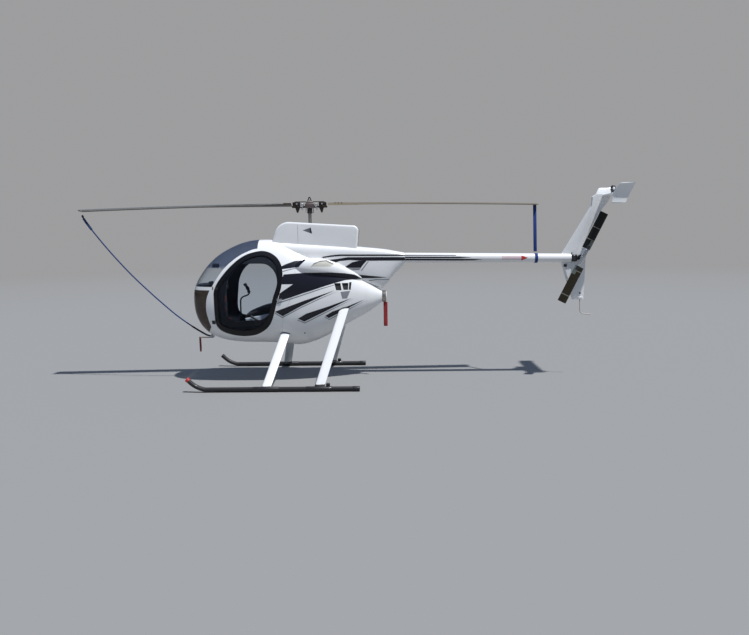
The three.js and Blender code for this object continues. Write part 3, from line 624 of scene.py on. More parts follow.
def stuck_on(film, outlines, side, near=0.02, trimmed=()):
    """Several shapes cut from one film, joined as one piece."""
    return joined(*[carved(film, within(side_cut(outline, side, near)), *trimmed) for outline in outlines])


for side, name in SIDES:
    for label, shapes, film in [("swoosh", [SWOOSH, UPPER_SWOOSH], black_vinyl),
            ("darts", DARTS, black_vinyl), ("shadow_lines", SHADOW_LINES, grey_vinyl_and_shade)]:
        finish_piece(f"{label}_{name}", stuck_on(film_wall, shapes, side), film)

# The spine fairing: a white moulding that carries the boom, broad behind the roof and thinning to a web
# under it. The rows repeat the CAD's: station, top, bottom, half width, height of the widest line,
# squareness.
SPINE_SECTIONS = [
    (0.400, 1.790, 1.560, 0.165, 1.680, 2.8), (0.250, 1.784, 1.500, 0.176, 1.640, 3.0),
    (0.080, 1.768, 1.450, 0.176, 1.600, 3.2), (-0.300, 1.740, 1.350, 0.166, 1.592, 3.2),
    (-0.620, 1.714, 1.255, 0.146, 1.590, 3.2), (-0.950, 1.680, 1.175, 0.098, 1.585, 2.8),
    (-1.110, 1.652, 1.350, 0.078, 1.575, 2.5), (-1.248, 1.625, 1.493, 0.067, 1.559, 2.1),
]
SPINE_SIDES = 72


def spine_skin(moved):
    rings = []
    for i in range(71):
        place = 7 * i / 70
        station, top, _, half_width, widest, power = between(SPINE_SECTIONS, place)
        row = min(int(place), 6)
        bottom = SPINE_SECTIONS[row][2] + (SPINE_SECTIONS[row + 1][2]
            - SPINE_SECTIONS[row][2]) * (place - row)
        rings.append(superellipse(station, top, bottom, half_width, widest, power, SPINE_SIDES))
    return shifted(loft(rings), moved)


spine_around = working(spine_skin(0.0005))
finish_piece("spine_moulding", carved(working(spine_skin(0)), around), white_gel_coat,
    replaces=("spine_fairing",), sharp=50)

# The shoulder scoops: a long white blister on each side of the spine, with a pale air inlet let into its
# crown. Each row is station, crown, keel, half thickness, height of the widest line; the last column is its
# middle's Y.
SCOOP_SECTIONS = [
    (0.150, 1.472, 1.450, 0.008, 1.461, 0.268), (0.135, 1.500, 1.426, 0.030, 1.462, 0.262),
    (0.090, 1.540, 1.400, 0.062, 1.465, 0.250), (0.000, 1.572, 1.372, 0.086, 1.466, 0.238),
    (-0.120, 1.578, 1.352, 0.098, 1.458, 0.222), (-0.260, 1.556, 1.336, 0.094, 1.440, 0.200),
    (-0.400, 1.506, 1.316, 0.078, 1.408, 0.172), (-0.540, 1.430, 1.296, 0.056, 1.362, 0.140),
    (-0.660, 1.356, 1.280, 0.030, 1.318, 0.108), (-0.715, 1.318, 1.292, 0.008, 1.305, 0.090),
]
INLET = [(-0.074, 1.471), (-0.112, 1.516), (-0.187, 1.544), (-0.261, 1.548), (-0.355, 1.502), (-0.317, 1.467)]
inlet_pale = speckled("inlet_pale", (0.5, 0.49, 0.44), 0.6, 0.0, 0.3)


def scoop_skin(side, moved):
    rings = []
    for i in range(55):
        station, crown, keel, half_width, widest, middle = between(SCOOP_SECTIONS, 9 * i / 54)
        ring = superellipse(station, crown, keel, half_width, widest, 2.1, 40)
        rings.append([point + Vector((0, side * middle, 0)) for point in ring])
    return shifted(loft(rings), moved)


for side, name in SIDES:
    whole = working(carved(working(scoop_skin(side, 0)), around, spine_around))
    cut = side_cut(INLET, side, 0.15)
    floor_of_inlet = working(scoop_skin(side, -0.012))
    pocket = working(carved(cut, floor_of_inlet))
    finish_piece(f"scoop_blister_{name}", carved(whole, pocket), white_gel_coat,
        replaces=(f"shoulder_scoop_{name}",))
    panel = carved(working(scoop_skin(side, -0.0105)), working(scoop_skin(side, -0.0125)),
        within(side_cut(INLET, side, 0.15)), spine_around)
    finish_piece(f"scoop_inlet_{name}", panel, inlet_pale)
    scoop_film = working(carved(working(scoop_skin(side, 0.0012)), working(scoop_skin(side, 0.0004)),
        around, spine_around))
    finish_piece(f"scoop_swoosh_{name}", stuck_on(scoop_film, [SWOOSH, UPPER_SWOOSH], side), black_vinyl)

# The mast fairing: a flat-sided white box with soft corners round the mast, made in two halves that meet at
# a seam. Its corners are station, height and radius; a three-cornered scoop is let into each side, pointing
# forward, with a floor that slopes down to a slot at its back edge. The floor's grey is painted shade.
FAIRING_CORNERS = [(0.470, 1.640, 0), (0.447, 1.780, 0.05), (0.362, 2.046, 0.190), (-0.672, 1.974, 0.070),
    (-0.635, 1.640, 0)]
FAIRING_HALF, FAIRING_EDGE = 0.118, 0.024
FAIRING_SEAM = 0.105
FAIRING_SCOOP = [(0.045, 1.926), (-0.060, 1.960), (-0.076, 1.882)]
SCOOP_BACKING = [(0.080, 1.850), (0.080, 1.990), (-0.044, 1.990), (-0.058, 1.850)]


def cornered(corners, steps=8):
    """A side outline from its corners: station, height and the radius that each is rounded to."""
    outline = []
    for i, (x, z, radius) in enumerate(corners):
        corner = Vector((x, z))
        if radius == 0:
            outline.append((x, z))
            continue
        before = (Vector(corners[i - 1][:2]) - corner).normalized()
        after = (Vector(corners[(i + 1) % len(corners)][:2]) - corner).normalized()
        half_angle = before.angle(after) / 2
        reach = radius / math.tan(half_angle)
        centre = corner + (before + after).normalized() * radius / math.sin(half_angle)
        first, last = corner + before * reach - centre, corner + after * reach - centre
        for k in range(steps + 1):
            spoke = first.lerp(last, k / steps).normalized() * radius
            outline.append(tuple(centre + spoke))
    return outline


def block(outline, half, edge, segments=5):
    """A side outline as a solid of an even width, with its long edges rounded."""
    bm = prism(outline, -half, half)
    rims = [e for e in bm.edges if abs(e.verts[0].co.y - e.verts[1].co.y) < 1e-6]
    bmesh.ops.bevel(bm, geom=rims, offset=edge, affect="EDGES", segments=segments, profile=0.5, material=-1)
    return bm


def upright_rod(x, y, low, high, radius, sides=32):
    bm = bmesh.new()
    bmesh.ops.create_cone(bm, cap_ends=True, segments=sides, radius1=radius, radius2=radius, depth=high - low)
    bmesh.ops.translate(bm, vec=(x, y, (low + high) / 2), verts=bm.verts)
    return bm


fairing = working(block(cornered(FAIRING_CORNERS), FAIRING_HALF, FAIRING_EDGE))
inner_corners = [(x - math.copysign(0.010, x), z - (0.010 if z > 1.9 else 0), radius * 0.8)
    for x, z, radius in FAIRING_CORNERS]
fairing_room = working(block(cornered(inner_corners), FAIRING_HALF - 0.010, FAIRING_EDGE * 0.8))
mast_hole = working(upright_rod(ZERO + MAST_STATION, 0, 1.95, 2.1, 0.032))
seam = [(FAIRING_SEAM, 1.6), (FAIRING_SEAM, 2.1), (FAIRING_SEAM + 0.006, 2.1), (FAIRING_SEAM + 0.006, 1.6)]
seam_slabs = [side_cut(seam, side, FAIRING_HALF - 0.006, 0.2) for side in (1, -1)]
room_within = working(carved(fairing_room, *[side_cut(SCOOP_BACKING, side, 0.070, 0.2) for side in (1, -1)]))
pockets = []
for side in (1, -1):
    bm = bmesh.new()
    (nose, top, bottom) = [Vector((ZERO + x, side * (FAIRING_HALF + 0.0005), z)) for x, z in FAIRING_SCOOP]
    points = [bm.verts.new(point) for point in (nose, top, bottom)]
    points += [bm.verts.new(point - Vector((0, side * 0.032, 0))) for point in (top, bottom)]
    bmesh.ops.convex_hull(bm, input=points)
    bmesh.ops.recalc_face_normals(bm, faces=bm.faces)
    pockets.append(working(bm))
walls = working(carved(fairing, room_within, mast_hole, around, spine_around, *seam_slabs))
scoop_shade_grey = speckled("scoop_shade_grey", (0.34, 0.35, 0.38), 0.5, 0.1, 0.3)
fairing_piece = finish_piece("mast_fairing_box", carved(walls, *pockets), [white_gel_coat, scoop_shade_grey],
    replaces=("mast_fairing",), sharp=50)
# The scoop's floor faces take the grey, painted shade of the recess.
for face in fairing_piece.data.polygons:
    spot = face.center
    in_scoop = -0.08 < spot.x - ZERO < 0.05 and 1.87 < spot.z < 1.98
    face.material_index = int(in_scoop and 0.080 < abs(spot.y) < FAIRING_HALF - 0.0005)

# The tail boom: a drawn aluminium tube, painted white, with the strap's navy band, long black stripes, and a
# blank pale strip that ends in a red point.
BOOM_FROM, BOOM_TO = Vector((ZERO - 1.25, 0, 1.558)), Vector((ZERO - 3.36, 0, 1.524))
BOOM_RADII = 0.066, 0.057
boom_line = BOOM_TO - BOOM_FROM


def boom_tube(start, end, more):
    """A stretch of the boom's outside, from one share of its length to another, moved out by more."""
    path = [BOOM_FROM + boom_line * share for share in (start, end)]
    radii = [BOOM_RADII[0] + (BOOM_RADII[1] - BOOM_RADII[0]) * share + more for share in (start, end)]
    return loft(tube_rings(path, lambda i: circle(radii[i], 64)))


def boom_share(station):
    return (ZERO + station - BOOM_FROM.x) / boom_line.x


painted_tube = speckled("painted_tube", (0.84, 0.845, 0.85), 0.25, 0.4, 0.06)
SPINE_STRIPES = [
    [(-0.194, 1.588), (-0.315, 1.608), (-0.430, 1.617), (-0.934, 1.608), (-1.249, 1.602), (-1.249, 1.585),
     (-0.934, 1.590), (-0.438, 1.598), (-0.314, 1.589), (-0.216, 1.576)],
    [(-0.273, 1.549), (-0.402, 1.562), (-0.526, 1.580), (-0.934, 1.575), (-1.249, 1.568), (-1.249, 1.526),
     (-0.933, 1.530), (-0.747, 1.532), (-0.543, 1.545), (-0.419, 1.534), (-0.348, 1.508)],
    [(-0.474, 1.446), (-0.506, 1.470), (-0.578, 1.515), (-0.659, 1.533), (-0.756, 1.534), (-0.756, 1.524),
     (-0.724, 1.493), (-0.687, 1.444)],
    [(-0.645, 1.357), (-0.841, 1.335), (-1.019, 1.315), (-0.840, 1.308), (-0.697, 1.310)],
]
SPINE_LINES = [
    [(-0.775, 1.522), (-0.789, 1.522), (-0.746, 1.466), (-0.700, 1.406), (-0.687, 1.408), (-0.732, 1.468)],
    [(-0.505, 1.441), (-0.686, 1.438), (-0.664, 1.416), (-0.576, 1.416)],
    [(-0.777, 1.280), (-0.894, 1.295), (-1.041, 1.292), (-1.046, 1.282), (-0.893, 1.284), (-0.795, 1.271)],
]
spine_film = working(carved(working(spine_skin(0.0012)), working(spine_skin(0.0004))))
scoops_around = [working(scoop_skin(side, 0.0005)) for side, _ in SIDES]


for side, name in SIDES:
    for label, shapes, film in (("stripes", SPINE_STRIPES, black_vinyl), ("lines", SPINE_LINES, grey_vinyl_and_shade)):
        finish_piece(f"spine_{label}_{name}", stuck_on(spine_film, shapes, side, 0.02,
            [around, *scoops_around]), film)
boom_bore = working(boom_tube(0.004, 0.996, -0.003))
finish_piece("boom_tube", carved(working(boom_tube(0, 1, 0)), boom_bore), painted_tube,
    replaces=("tail_boom",), sharp=50)
red_film = speckled("red_film", (0.52, 0.03, 0.025), 0.3, 0.4, 0.2)
boom_around = working(boom_tube(0, 1, 0.0004))
boom_film = working(carved(working(boom_tube(-0.02, 1.02, 0.0009)), working(boom_tube(-0.1, 1.1, 0.0004))))
BOOM_STRIPES = [
    [(-1.252, 1.598), (-1.902, 1.586), (-1.902, 1.577), (-1.252, 1.586)],
    [(-1.252, 1.576), (-1.945, 1.565), (-2.097, 1.552), (-1.945, 1.547), (-1.252, 1.557)],
    [(-1.252, 1.549), (-1.945, 1.537), (-2.123, 1.532), (-2.239, 1.523), (-2.124, 1.514), (-1.946, 1.514),
     (-1.252, 1.526)],
]
MARK_STRIP = [(-2.482, 1.564), (-2.726, 1.560), (-2.726, 1.513), (-2.482, 1.517)]
MARK_POINT = [(-2.727, 1.570), (-2.806, 1.537), (-2.727, 1.502)]
pale_film = speckled("pale_film", (0.72, 0.58, 0.60), 0.3, 0.4, 0.1)
webbing = braided("webbing", (0.004, 0.014, 0.07), (0.014, 0.060, 0.30), 420)
band = working(boom_tube(boom_share(-2.901), boom_share(-2.938), 0.0035))
finish_piece("boom_band", carved(band, boom_around), webbing, sharp=50)
for side, name in SIDES:
    finish_piece(f"boom_stripes_{name}", stuck_on(boom_film, BOOM_STRIPES, side, 0.01), black_vinyl)
    finish_piece(f"boom_mark_{name}", stuck_on(boom_film, [MARK_STRIP], side, 0.01), pale_film)
    finish_piece(f"boom_point_{name}", stuck_on(boom_film, [MARK_POINT], side, 0.01), red_film)

# The tail gearbox: a dark cast housing on the boom's end, with a flange, an arm for the controls and an
# output boss.
TAIL_HUB = Vector((ZERO - 3.464, 0.172, 1.532))
GEARBOX = (-3.436, -0.044, 1.480), (-3.361, 0.044, 1.568)
GEARBOX_ARM = (-3.500, -0.017, 1.500), (-3.430, 0.017, 1.560)


def soft_box(low, high, edge=0.004, segments=2):
    """A box given by its low and high corners, as station, Y and height, with rounded edges."""
    bm = bmesh.new()
    bmesh.ops.create_cube(bm, size=1)
    low, high = Vector(low), Vector(high)
    for vert in bm.verts:
        vert.co = Vector([(a + b) / 2 + (b - a) * c
            for a, b, c in zip(low, high, vert.co)]) + Vector((ZERO, 0, 0))
    if edge:
        bmesh.ops.bevel(bm, geom=bm.edges[:], offset=edge, affect="EDGES", segments=segments, profile=0.5)
    return bm


def turned(foot, direction, profile, sides=40):
    """A turned solid; each row of its profile is a distance along the axis and a radius."""
    axis = Vector(direction).normalized()
    across = axis.orthogonal().normalized()
    up = axis.cross(across)
    rings = [[Vector(foot) + axis * reach + across * x + up * y
        for x, y in circle(max(radius, 0.0004), sides)] for reach, radius in profile]
    return loft(rings)


def hex_bolt(place, direction, width=0.011, height=0.006, washer=True):
    """A hexagon head on its washer, set on a face that looks along direction."""
    head = turned(place, direction, [(-0.003, width / 2), (height * 0.8, width / 2),
        (height, width * 0.42)], 6)
    if not washer:
        return head
    return joined(head, turned(place, direction, [(-0.003, width * 0.8), (0.0014, width * 0.8)], 20))


def metal(name, color, roughness, wear, scale=24.0):
    """Bare or coated metal: brushed unevenly, with small dull spots."""
    material, nodes, links, shader = new_material(name, color, roughness, metallic=1.0)
    grain = texture(nodes, links, "ShaderNodeTexNoise", scale=scale, Detail=7.0, Roughness=0.65)
    worn = tuple(c * (1 - wear) for c in color)
    tone = ramp(nodes, links, grain.outputs["Fac"], [(0.3, color), (0.55, color), (0.72, worn)])
    links.new(tone.outputs["Color"], shader.inputs["Base Color"])
    roughness_from(nodes, links, grain.outputs["Fac"], shader, roughness * 0.7, roughness * 1.5)
    bump(nodes, links, grain.outputs["Fac"], shader, 0.15, 0.0006)
    return material


dark_casting = metal("dark_casting", (0.075, 0.078, 0.085), 0.5, 0.4, 60)
bright_steel = metal("bright_steel", (0.62, 0.63, 0.65), 0.26, 0.35, 30)
grey_steel = metal("grey_steel", (0.26, 0.27, 0.29), 0.38, 0.4, 40)
housing = [soft_box(*GEARBOX, 0.012, 4), soft_box(*GEARBOX_ARM, 0.006, 3)]
housing.append(turned(TAIL_HUB * Vector((1, 0, 1)), (0, 1, 0), [(0, 0.026), (0.05, 0.026), (0.053, 0.034),
    (0.062, 0.034), (0.065, 0.026), (0.08, 0.025)]))
for x in (-3.424, -3.373):
    for z in (1.493, 1.555):
        for side in (1, -1):
            housing.append(hex_bolt((ZERO + x, side * 0.044, z), (0, side, 0), 0.009, 0.004))
finish_piece("gearbox_casting", joined(*housing), dark_casting, replaces=("tail_gearbox",))
plug = turned((ZERO - 3.370, 0.026, 1.566), (0, 0, 1), [(0, 0.008), (0.006, 0.008), (0.008, 0.005),
    (0.034, 0.005), (0.035, 0.003)], 24)
finish_piece("gearbox_filler", plug, dark_casting)

# The fins: thin white plates with a crease in their sides, each a forward slope that meets a flatter rear
# face. Each level is height, leading edge, crease, trailing edge and thickness at the crease.
UPPER_FIN = [
    (1.529, -3.211, -3.410, -3.556, 0.052), (1.787, -3.366, -3.486, -3.551, 0.046),
    (2.073, -3.536, -3.570, -3.699, 0.036), (2.174, -3.597, -3.612, -3.772, 0.032),
    (2.225, -3.602, -3.618, -3.814, 0.030), (2.288, -3.606, -3.622, -3.842, 0.028),
    (2.318, -3.652, -3.664, -3.846, 0.026),
]
FIN_STEP = [(-4.1, 2.293), (-3.741, 2.293), (-3.741, 2.4), (-4.1, 2.4)]
LOWER_FIN = [(1.527, -3.221, -3.250, -3.553, 0.052), (0.995, -3.389, -3.414, -3.535, 0.030)]


def fin(levels):
    rings = []
    for z, front, crease, back, thickness in levels:
        half = thickness / 2
        side = [(front, 0.0), (front - 0.0015, 0.002), (front - 0.005, 0.0032),
            (crease + 0.003, half - 0.0006), (crease - 0.003, half - 0.0006), (back + 0.002, 0.0026),
            (back, 0.0012)]
        ring = side + [(x, -y) for x, y in reversed(side[1:])]
        rings.append([Vector((ZERO + x, y, z)) for x, y in ring])
    return loft(rings)


gearbox_around = working(soft_box((-3.437, -0.045, 1.479), (-3.360, 0.045, 1.569), 0))
arm_around = working(soft_box((-3.501, -0.018, 1.499), (-3.429, 0.018, 1.561), 0))
boss_around = working(turned(TAIL_HUB * Vector((1, 0, 1)), (0, 1, 0), [(0, 0.027), (0.1, 0.027)]))
boom_room = working(boom_tube(-0.01, 1.001, 0.0006))
tail_cuts = [boom_room, gearbox_around, arm_around, boss_around]
step = working(prism(FIN_STEP, -0.05, 0.05))
finish_piece("upper_fin_plate", carved(working(fin(UPPER_FIN)), *tail_cuts, step), painted_tube,
    replaces=("upper_fin",), sharp=8)
finish_piece("lower_fin_plate", carved(working(fin(LOWER_FIN)), *tail_cuts), painted_tube,
    replaces=("lower_fin",), sharp=8)
rivets = []
for levels, rows in ((UPPER_FIN[:4], 9), (LOWER_FIN, 8)):
    for i in range(rows):
        z, _, crease, back, thickness = between(levels, (len(levels) - 1) * (i + 0.7) / (rows + 0.4))
        along = (crease + back) / 2 - 0.004
        for side in (1, -1):
            face = side * (thickness / 4 + 0.0014)
            rivets.append(turned((ZERO + along, face, z), (0, side, 0),
                [(-0.003, 0.003), (0.0006, 0.003), (0.0013, 0.0012)], 10))
finish_piece("fin_rivets", joined(*rivets), painted_tube)
fittings = [soft_box((-3.306, 0.018, 1.414), (-3.270, 0.034, 1.449), 0.003),
            turned((ZERO - 3.488, 0.008, 1.076), (0, 1, 0), [(0, 0.010), (0.010, 0.010), (0.011, 0.008)], 24)]
finish_piece("fin_fittings", joined(*fittings), dark_casting)
gusset_plate = prism([(-3.310, 1.399), (-3.357, 1.468), (-3.316, 1.468)], 0.018, 0.030)
finish_piece("fin_gusset", gusset_plate, painted_tube, sharp=20)

# The stabiliser lies across the top of the upper fin, with a leaning plate at each end. The plates' levels
# are leading edge, distance out, height and chord; the upper two stand as the photo shows them, up to 26 mm
# from the CAD's.
STABILISER_NOSE, STABILISER_REACH, STABILISER_CHORD = (-3.742, 2.306), 0.336, 0.200
END_PLATE = [(-3.727, 0.365, 2.185, 0.170), (-3.750, 0.347, 2.306, 0.208), (-3.819, 0.402, 2.428, 0.184)]


def foil(points=36):
    """A symmetric aerofoil: along it as shares of the chord, across it as shares of the thickness."""
    outline = []
    half = points // 2
    for i in range(points):
        side = 1 if i <= half else -1
        along = 0.5 - 0.5 * math.cos(math.pi * (i if side > 0 else points - i) / half)
        across = (2.969 * math.sqrt(along) - 1.26 * along - 3.516 * along ** 2 + 2.843 * along ** 3
                  - 1.015 * along ** 4)
        outline.append((along, side * across / 2))
    return outline


def foil_ring(nose, chord, thickness, points=36):
    return [Vector(nose) + Vector(chord) * along + Vector(thickness) * across
        for along, across in foil(points)]


def rounded_ends(start, end, reach=0.012, steps=4):
    """Places along a span, and the share of its thickness that each ring keeps, drawn in at both tips."""
    places = [(start + reach * i / steps, math.sin(math.pi / 2 * (i + 0.25) / steps)) for i in range(steps)]
    places.append((start + reach, 1.0))
    return places + [(start + end - place, share) for place, share in places[::-1]]


plane = []
for y, share in rounded_ends(-STABILISER_REACH, STABILISER_REACH):
    plane.append(foil_ring((ZERO + STABILISER_NOSE[0] - 0.01 * (1 - share), y, STABILISER_NOSE[1]),
        (-STABILISER_CHORD + 0.02 * (1 - share), 0, 0), (0, 0, 0.024 * share)))
finish_piece("stabiliser_plane", loft(plane), painted_tube, replaces=("stabiliser",),
    sharp=50)
for side, name in SIDES:
    rings = []
    for place, share in rounded_ends(0.0, 2.0, 0.12):
        low, high = END_PLATE[min(int(place), 1)], END_PLATE[min(int(place), 1) + 1]
        t = place - min(int(place), 1)
        x, y, z, chord = (a + (b - a) * t for a, b in zip(low, high))
        rings.append(foil_ring((ZERO + x - 0.02 * (1 - share), side * y, z),
            (-chord + 0.04 * (1 - share), 0, 0), (0, 0.018 * share, 0)))
    middle = (len(rings)) // 2
    x, y, z, chord = END_PLATE[1]
    rings.insert(middle, foil_ring((ZERO + x, side * y, z), (-chord, 0, 0), (0, 0.018, 0)))
    finish_piece(f"end_plate_{name}_leaf", loft(rings), painted_tube,
        replaces=(f"end_plate_{name}",), sharp=50)

# The tail guard: a thin pale bent rod under the lower fin, held by a small white clip.
# The beacon behind the stabiliser: a dark casing on a stem, with a pale lens in each side and one on top.
GUARD = [(-3.489, 0.9945), (-3.493, 0.900), (-3.500, 0.835), (-3.540, 0.806), (-3.640, 0.798)]
guard_path = [Vector((ZERO + x, 0, z)) for x, z in curve_through(GUARD, 60)]
guard_radius = [0.006] * 59 + [0.005, 0.002]
guard = loft(tube_rings(guard_path, lambda i: circle(guard_radius[i], 14)))
guard_pale = speckled("guard_pale", (0.50, 0.44, 0.40), 0.5, 0.1, 0.3)
finish_piece("tail_guard_rod", guard, guard_pale, replaces=("tail_guard",))
clip = joined(soft_box((-3.520, -0.013, 0.999), (-3.455, 0.013, 1.030), 0.002),
    *[hex_bolt((ZERO + x, 0.013, 1.015), (0, 1, 0), 0.008, 0.003) for x in (-3.505, -3.470)])
finish_piece("guard_clip", clip, painted_tube)
beacon_foot = Vector((ZERO - 3.872, 0, 2.317))
casing = [(0, 0.0235), (0.001, 0.024), (0.041, 0.024), (0.046, 0.030), (0.050, 0.032), (0.083, 0.032),
    (0.095, 0.028), (0.106, 0.022), (0.110, 0.012), (0.111, 0.0005)]
casing_dark = speckled("casing_dark", (0.035, 0.038, 0.045), 0.35, 0.3, 0.3)
finish_piece("beacon_casing", turned(beacon_foot, (0, 0, 1), casing), casing_dark,
    replaces=("beacon",))
lens_pale = speckled("lens_pale", (0.80, 0.81, 0.82), 0.15, 0.6, 0.05)
lenses = [turned(beacon_foot + Vector((0, side * 0.028, 0.071)), (0, side, 0),
    [(0, 0.016), (0.005, 0.016), (0.0065, 0.0145), (0.009, 0.010), (0.010, 0.0005)], 32)
    for side in (1, -1)]
lenses.append(turned(beacon_foot + Vector((0, 0, 0.109)), (0, 0, 1),
    [(0, 0.008), (0.003, 0.007), (0.004, 0.0005)], 24))
finish_piece("beacon_lenses", joined(*lenses), lens_pale)

# The landing gear: black skid tubes with turned-up toes, wear shoes below, and saddles under the four white
# legs. The skids' route is station and rise over the resting height; near and far sides are alike but for
# the red plug. A strut's row is its foot, top, height, distance out at the top and chord. The CAD's struts
# end at that top; here they run on along the same line to the body's skin, where a thin black band round
# each leg is painted shade of the gap where the leg meets the body.
TRACK = 1.572
SKID_RADIUS = 0.027
SKID_Z = 0.0333
SKID_ROUTE = [(-0.675, 0), (-0.300, 0), (0.400, 0), (1.080, 0), (1.200, 0.004), (1.310, 0.050),
    (1.400, 0.128)]
STRUTS = [("front", 0.450, 0.300, 0.560, 0.330, 0.112), ("rear", -0.192, -0.445, 0.850, 0.280, 0.116)]
STRUT_THICKNESS = 0.042
LEG_REACH = 1.22
skid_black = speckled("skid_black", (0.011, 0.011, 0.013), 0.5, 0.2, 0.25)
leg_white = speckled("leg_white", (0.85, 0.855, 0.86), 0.22, 0.5, 0.08)
toe_red = speckled("toe_red", (0.5, 0.03, 0.025), 0.4, 0.2, 0.2)


def skid_path(y):
    return [Vector((ZERO + x, y, SKID_Z + rise)) for x, rise in curve_through(SKID_ROUTE, 90)]


def sleeve(y, start, end, radius):
    """A stretch of thicker tube on the straight part of a skid, with rounded ends."""
    foot = Vector((ZERO + start, y, SKID_Z))
    length = end - start
    return turned(foot, (1, 0, 0), [(0, SKID_RADIUS - 0.001), (0, radius - 0.001), (0.0015, radius),
        (length - 0.0015, radius), (length, radius - 0.001), (length, SKID_RADIUS - 0.001)], 32)


near_skin = working(body_skin(0.008))
for side, name in SIDES:
    y = side * TRACK / 2
    path = skid_path(y)
    parts = [loft(tube_rings(path, lambda i: circle(SKID_RADIUS, 32)))]
    parts.append(sleeve(y, -0.684, -0.600, SKID_RADIUS + 0.003))
    parts.append(soft_box((-0.640, y - 0.020, 0.0), (1.040, y + 0.020, 0.0085), 0.003))
    parts.append(soft_box((-0.328, y - 0.016, 0.0500), (-0.280, y + 0.016, SKID_Z + 0.070), 0.012, 4))
    for start in (-0.30, 0.34):
        parts.append(sleeve(y, start - 0.05, start + 0.26, SKID_RADIUS + 0.0035))
    parts.append(turned((ZERO - 0.305, y - 0.024, SKID_Z + 0.056), (0, 1, 0), [(0, 0.009), (0.048, 0.009)],
        20))
    for x in (-0.60, -0.25, 0.15, 0.60, 1.00):
        for across in (-0.012, 0.012):
            parts.append(hex_bolt((ZERO + x, y + across, SKID_Z - SKID_RADIUS + 0.004), (0, 0, -1), 0.008,
                0.002, False))
    finish_piece(f"skid_tube_{name}", joined(*parts), skid_black,
        replaces=(f"skid_{name}",))
    toe = path[-1]
    ahead_of_toe = (path[-1] - path[-2]).normalized()
    cap = turned(toe - ahead_of_toe * 0.030, ahead_of_toe, [(0, SKID_RADIUS), (0, SKID_RADIUS + 0.002),
        (0.031, SKID_RADIUS + 0.002), (0.034, SKID_RADIUS - 0.002), (0.036, 0.010), (0.036, 0.0005)], 32)
    finish_piece(f"skid_toe_{name}", cap, toe_red if side > 0 else skid_black)
    for place, foot, top, height, reach, chord in STRUTS:
        foot_point, top_point = Vector((foot, y, SKID_Z)), Vector((top, side * reach, height))
        rings = []
        for i in range(13):
            point = foot_point.lerp(top_point, LEG_REACH * i / 12)
            rings.append(foil_ring((ZERO + point.x + chord / 2, point.y, point.z), (-chord, 0, 0),
                (0, STRUT_THICKNESS, 0), 40))
        leg = working(loft(rings))
        room_for_skid = working(loft(tube_rings(skid_path(y), lambda i: circle(SKID_RADIUS + 0.004, 24))))
        finish_piece(f"leg_{place}_{name}", carved(leg, around, room_for_skid), leg_white,
            replaces=(f"strut_{place}_{name}",), sharp=50)
        collar_rings = []
        for share in (0.0, 0.012, 0.022, 0.026):
            point = foot_point.lerp(top_point, 0.035 + share)
            more = 0.004 if 0 < share < 0.025 else 0.002
            collar_rings.append(foil_ring((ZERO + point.x + chord / 2 + more, point.y, point.z),
                (-chord - 2 * more, 0, 0), (0, STRUT_THICKNESS + 2 * more, 0), 40))
        shoe = carved(working(loft(collar_rings)), room_for_skid, leg)
        finish_piece(f"leg_saddle_{place}_{name}", shoe, skid_black, sharp=50)
        # A thin black band round the leg, just outside the body's skin: painted shade of the gap where they
        # meet.
        shade_band_rings = []
        for share in (0.5, LEG_REACH):
            point = foot_point.lerp(top_point, share)
            shade_band_rings.append(foil_ring((ZERO + point.x + chord / 2 + 0.006, point.y, point.z),
                (-chord - 0.012, 0, 0), (0, STRUT_THICKNESS + 0.012, 0), 40))
        cuff = carved(working(loft(shade_band_rings)), within(near_skin), around, leg)
        finish_piece(f"leg_cuff_{place}_{name}", cuff, skid_black, sharp=50)

# The mast: a ground steel tube with a black collar under the hub, and a short pale pitch link on each side
# of it. Everything on the main rotor is drawn pointing straight ahead at station 0, then moved to the mast
# and turned to its resting angle.
MAST_FOOT = 1.795
ROTOR_TURN = math.radians(3)


def parked(bm):
    """Moves a piece of the main rotor to the mast, turned to the angle that the rotor rests at."""
    spot = Matrix.Translation((ZERO + MAST_STATION, 0, 0)) @ Matrix.Rotation(ROTOR_TURN, 4, "Z")
    bmesh.ops.transform(bm, matrix=spot @ Matrix.Translation((-ZERO, 0, 0)), verts=bm.verts)
    return bm


shaft_grey = metal("shaft_grey", (0.33, 0.31, 0.29), 0.42, 0.4, 40)
mast_profile = [(0, 0.021), (0.344, 0.021), (0.345, 0.024), (0.349, 0.024), (0.350, 0.021), (0.411, 0.021)]
finish_piece("mast_tube", parked(turned((ZERO, 0, MAST_FOOT), (0, 0, 1), mast_profile, 48)), shaft_grey,
    "main_rotor", ("rotor_mast",))
collar = turned((ZERO, 0, 2.142), (0, 0, 1), [(0, 0.0215), (0, 0.030), (0.002, 0.032), (0.026, 0.032),
    (0.028, 0.029), (0.032, 0.029), (0.034, 0.032), (0.060, 0.032), (0.062, 0.030), (0.062, 0.0215)], 48)
finish_piece("mast_collar", parked(collar), rubber, "main_rotor")
links_rod = []
for side in (1, -1):
    foot = Vector((ZERO + side * 0.044, side * 0.028, 2.156))
    top = foot + Vector((0, 0, 0.056))
    links_rod.append(turned(foot, top - foot, [(0, 0.0055), ((top - foot).length, 0.0055)], 12))
    for end in (foot, top):
        links_rod.append(turned(end - Vector((0, 0.008, 0)), (0, 1, 0),
            [(0, 0.007), (0.001, 0.009), (0.015, 0.009), (0.016, 0.007)], 16))
pale_metal = metal("pale_metal", (0.80, 0.80, 0.79), 0.34, 0.2, 30)
finish_piece("pitch_links", parked(joined(*links_rod)), pale_metal, "main_rotor")

